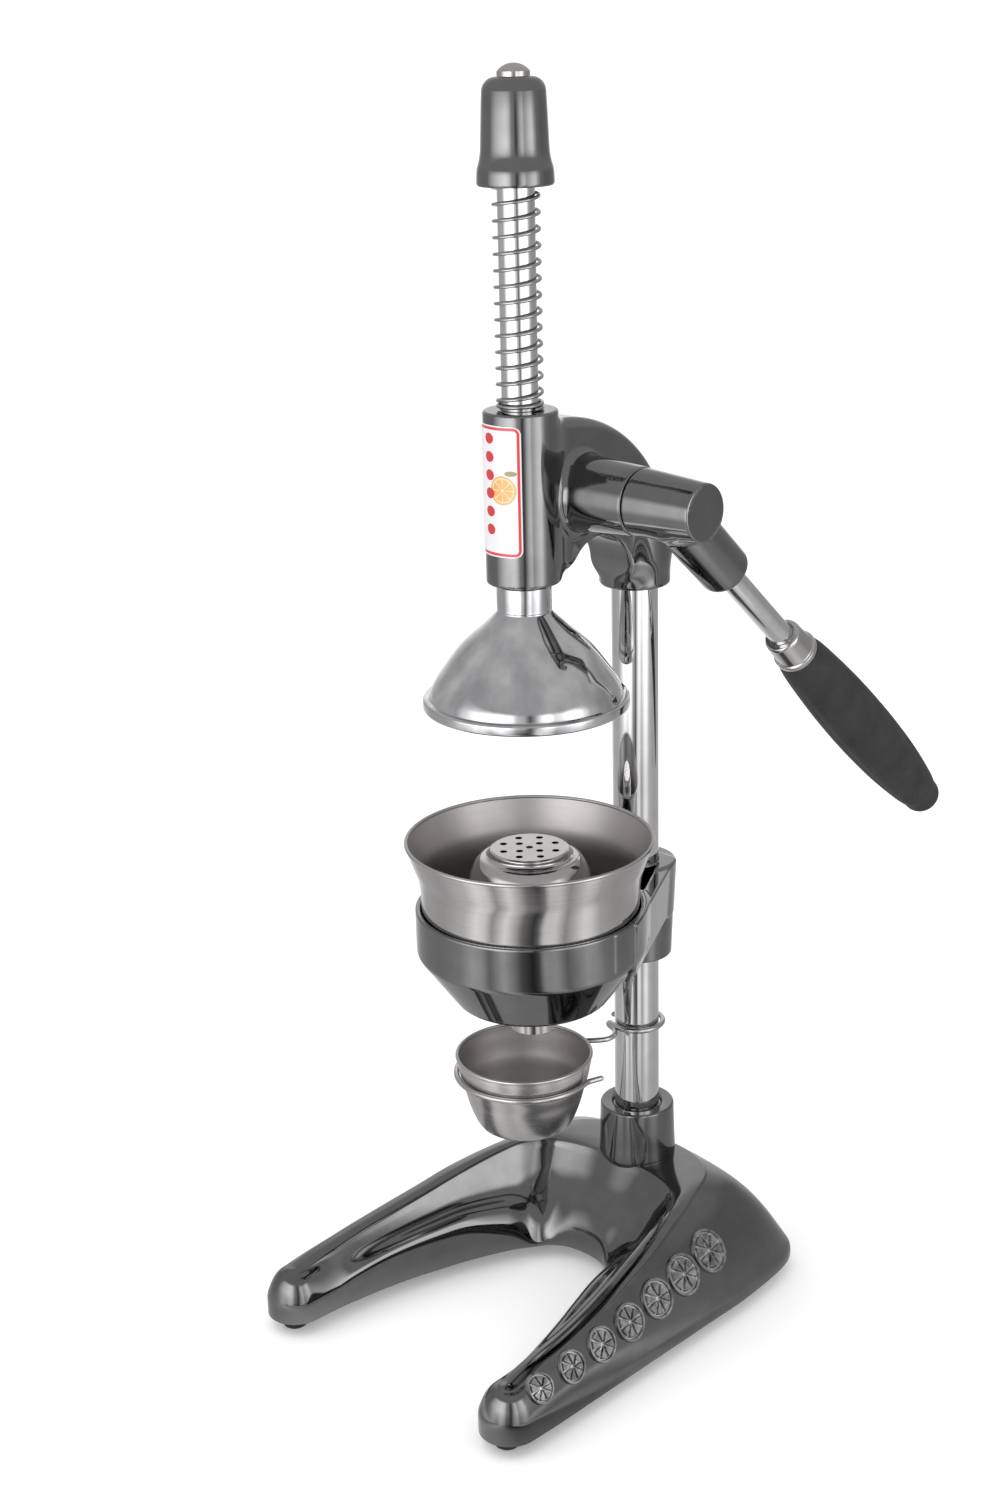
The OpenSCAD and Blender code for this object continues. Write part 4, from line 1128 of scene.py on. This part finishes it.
# ---- lever ----------------------------------------------------------------------------------

SOCKET = 61  # length of the lever's socket from the shaft


def hub_field(x, y, z):
    """Hub on the shaft with the lever's socket."""
    dy, dz = y - SHAFT_Y, z - SHAFT_Z
    axle = np.hypot(dy, dz)
    taper = 2.6 * np.clip((x - SEAM_X) / (HUB_END - SEAM_X), 0, 1)
    hub = can(axle + taper, x, SEAM_X, HUB_END, 17.0, 1.1)
    t = dy * LEVER_DIR[1] + dz * LEVER_DIR[2]
    s = dy * -LEVER_DIR[2] + dz * LEVER_DIR[1]
    out = np.hypot(x - LEVER_X, s)
    boss = can(out + 0.5 * np.clip(t / SOCKET, 0, 1), t, 0, SOCKET, 13.8, 4)
    body = smax(smin(hub, boss, 5), -np.maximum(out - ROD_HOLE, 21 - t), 1.2)
    return smax(body, -np.maximum(axle - SHAFT_HOLE, x - 87.9), 0.8)


cast("hub", hub_field, (53, SHAFT_Y - 20, SHAFT_Z - 56), (96, SHAFT_Y + 58, SHAFT_Z + 20), 0.8,
     nickel_head, "lever", "nickel_head", ["lever_hub"])
turned("rod", rounded([(0, 22), (6.4, 22, 0.5), (6.4, 142), (5, 142), (5, 292), (0, 292)]), along_lever,
       chrome_rod, "lever", "chrome", ["lever_rod"], n=72, closed=False)
turned("ferrule", rounded([(ROD_HOLE, 124, 0.3), (9, 124, 0.5), (10, 125.2, 1), (10.8, 139, 0.6),
                           (12, 139.6, 0.5), (12, 142.4, 0.4), (11.4, 142.9, 0.2),
                           (ROD_HOLE, 142.9, 0.2)], 4, True),
       along_lever, satin, "lever", "chrome", ["grip_ferrule"], n=96)


def flutes(r, z, a):
    """Long shallow flutes that fade out towards both ends of the grip."""
    fade = np.clip((z - 150) / 30, 0, 1) * np.clip((306 - z) / 40, 0, 1)
    return r - 0.35 * fade * (0.5 + 0.5 * math.cos(12 * a)) ** 3 * min(1, r / 12)


grip = np.vstack([
    [(5.03, 143.05), (11.4, 143.05)],
    catmull([(12, 143.6), (13.6, 154), (15.2, 174), (16.4, 197), (16.8, 221), (16.5, 243), (15.3, 269),
             (12.8, 295), (10.9, 306)], 8),
    [(8 * math.cos(a) + 2.7, 8 * math.sin(a) + 310) for a in np.radians(np.linspace(8, 90, 12))],
    [(0, 318)]])
turned("grip", grip, along_lever, rubber_grip, "lever", "rubber_grip", ["lever_grip"], n=168, closed=False,
       ripple=flutes)

# ---- holder, bowl, reamer -------------------------------------------------------------------

HOLDER_TOP = span("bowl_holder", 2)[1]
HOLDER_R = 61.2  # outside of the ring
SEAT_R = 57.9  # inside of the ring, where the bowl sits
COLLAR_R, COLLAR_LOW = 21.8, 181  # collar on the column


def holder_field(x, y, z):
    """Ring and funnel for the bowl, two arms and the collar, less the slot between the arms."""
    yc = y - COL_Y
    rho = np.hypot(x, yc + REACH)
    col = np.hypot(x, yc)
    cone = ((rho - HOLDER_R) * 29.2 - (z - 213) * 20.9) / 35.9
    ring = smax(smax(rho - HOLDER_R, z - HOLDER_TOP, 1.2), smax(cone, 183 - z, 3), 2.0)
    cone_in = ((rho - 55) * 21.1 - (z - 211.6) * 15) / 25.9
    cup = smax(smax(rho - SEAT_R, cone_in, 2), 187 - z, 2)
    ring = smax(smax(ring, -cup, 1.0), 13.6 - rho, 1.0)
    taper = 2.2 * np.clip((HOLDER_TOP - z) / 54, 0, 1)
    collar = can(col + taper, z, COLLAR_LOW, HOLDER_TOP, COLLAR_R, 1.2)
    inset = 2 * (HOLDER_TOP - z) / 30
    flank = ((np.abs(x) - 17.2 + inset) * 66.9 + (yc - 13.3) * 35.1) / 75.5
    arms = smax(smax(flank, z - HOLDER_TOP + 0.4, 1.2), smax(206 - z, yc - 13.3, 1.5), 1.5)
    arms = np.maximum(arms, np.maximum(-(yc + 70), -np.minimum(cup - 1.4, rho)))
    body = smin(smin(ring, collar, 2), arms, 2.5)
    inner = ((np.abs(x) - 17.5) * 45 + (yc + 4) * 23.5) / 50.77
    slot = smax(smax(inner, yc - 2, 2), np.maximum(14.7 - col, 60.8 - rho), 1.5)
    slot = smax(slot, 213 - z, 2)
    return smax(smax(body, -slot, 1.0), COLUMN_HOLE - col, 0.8)


cast("holder", holder_field, (-63, RAM_Y - 63, 179), (63, COL_Y + 24, 238.5), 0.97, nickel_head,
     "stand", "nickel_head", ["bowl_holder"])

RIM = span("juice_bowl", 2)[1]
bowl_line = np.vstack([
    catmull(up_from(RIM, [(65, -0.7), (63.8, -4.5), (61.2, -12), (58.9, -18.5), (57.8, -24.5),
                          (57.4, -31)]), 6),
    rounded([(57.4, RIM - 33), (57.4, 218, 6), (54.76, 211.8, 4), (39.75, 190.7, 4), (36.6, 188, 3),
             (12.8, 188, 2.5), (12, 184, 1.5), (12, 166)], 6)])
verts, faces = joined(*shells([sheet_outline(bowl_line, 1.2), rolled_rim(64.3, RIM, 1.0)], 192))
bowl = piece("bowl", on_ram(verts), faces, buffed, "bowl", "stainless", ["juice_bowl"], sharp=50)
line_inside(bowl, satin_inside, 0, RAM_Y)


def ring_hole(reach, degrees, r=1.9):
    """Hole of radius r at a distance from the axis."""
    a = math.radians(degrees)
    return (reach * math.cos(a), reach * math.sin(a), r)


# Holes of the top: one in the middle, four round it and four pairs outside; then of the floor
HOLES = [(0, 0, 1.9)] + [ring_hole(reach, a + turn) for a in range(44, 404, 90)
                         for reach, turn in ((7.4, 45), (14.6, -22), (14.6, 22))]
FLOOR_HOLES = [ring_hole(47.5, 12 * i, 2.0) for i in range(30)]
cone_line = rounded([(19.6, 268), (20.9, 267.6, 1.0), (21.5, 265.0, 1.4), (23.0, 263.9, 1.2),
                     (25.8, 263.6, 1.5), (28.4, 260.9, 3), (31.7, 254.8, 5), (34.6, 247, 5),
                     (37.6, 236, 6), (39.4, 222, 3), (43, 218.9)], 6)
rim_line = rounded([(52.2, 218.9), (54.2, 219.4, 1.5), (54.9, 224)], 5)
verts, faces = joined(*shells([sheet_outline(line, 1.15) for line in (cone_line, rim_line)], 160),
                      drilled_ring(19.7, 0, HOLES, 268, 266.85, 160),
                      drilled_ring(52.3, 42.9, FLOOR_HOLES, 218.9, 217.75, 160))
reamer = piece("reamer", on_ram(verts), faces, satin, "strainer", "stainless", ["strainer_cone"], sharp=35)
line_inside(reamer, satin_inside, 0, RAM_Y, 230)

# ---- cup and its wire -----------------------------------------------------------------------

CUP_RIM = span("drip_cup", 2)[1]
cup_line = np.vstack([
    catmull(up_from(CUP_RIM, [
        (36.9, -0.8), (36.6, -2.4), (36.2, -5.2), (34.4, -14), (32.4, -20.5), (30.8, -26.6), (28.8, -32.7),
        (26.4, -38.2), (24, -41.4), (20.6, -42.9), (16, -43.2)]), 5),
    [(0, CUP_RIM - 43.2)]])
inner = beside(cup_line, 0.9)
inner[-1, 0] = 0
verts, faces = joined(*shells([np.vstack([cup_line, inner[::-1]]), rolled_rim(36.3, CUP_RIM, 0.9)], 144))
cup = piece("cup", upright(CUP_X, CUP_Y)(verts), faces, brushed, "cup", "stainless", ["drip_cup"], sharp=50)
line_inside(cup, satin_inside, CUP_X, CUP_Y)

LOOP_R, LOOP_Z = 14.8, 138.0  # loop round the column
RING_R, RING_Z = 36.9, 136.5  # ring under the cup's edge


def wire_path():
    """Wire from the loop round the column, over a bend, to the ring that carries the cup."""
    cx, cy = CUP_X, CUP_Y - COL_Y
    loop = [(LOOP_R * math.cos(a), LOOP_R * math.sin(a), LOOP_Z)
            for a in np.radians(range(200, -137, -8))]
    loop = [p for p in loop if p[0] > -9 or p[1] > -4]
    bend = catmull([(-6.6, -13.4, LOOP_Z), (-10.8, -11, LOOP_Z - 0.6), (-9.6, -13.6, LOOP_Z - 1),
                    (-3, -16, 136.9), (1.4, -20.5, RING_Z + 0.1), (1.8, -27, RING_Z), (-3, -33.5, RING_Z),
                    (-13, -42.5, RING_Z)], 9)
    ring = [(cx + RING_R * math.cos(a), cy + RING_R * math.sin(a), RING_Z)
            for a in np.radians(range(114, 379, 4))]
    path = np.array([*loop, *bend[1:], *ring, (cx + 38, cy + 19.5, RING_Z + 0.2)])
    # Even out the spacing before the wire is swept along it
    gap = np.r_[0, np.cumsum(np.linalg.norm(np.diff(path, axis=0), axis=1))]
    even = np.linspace(0, gap[-1], 330)
    path = np.stack([np.interp(even, gap, path[:, i]) for i in range(3)], 1)
    for _ in range(6):
        path[1:-1] = 0.25 * path[:-2] + 0.5 * path[1:-1] + 0.25 * path[2:]
    path[:, 1] += COL_Y
    return path


piece("wire", *sweep(wire_path(), 1.5, 14), wire_steel, "bracket", "stainless", ["cup_bracket"])
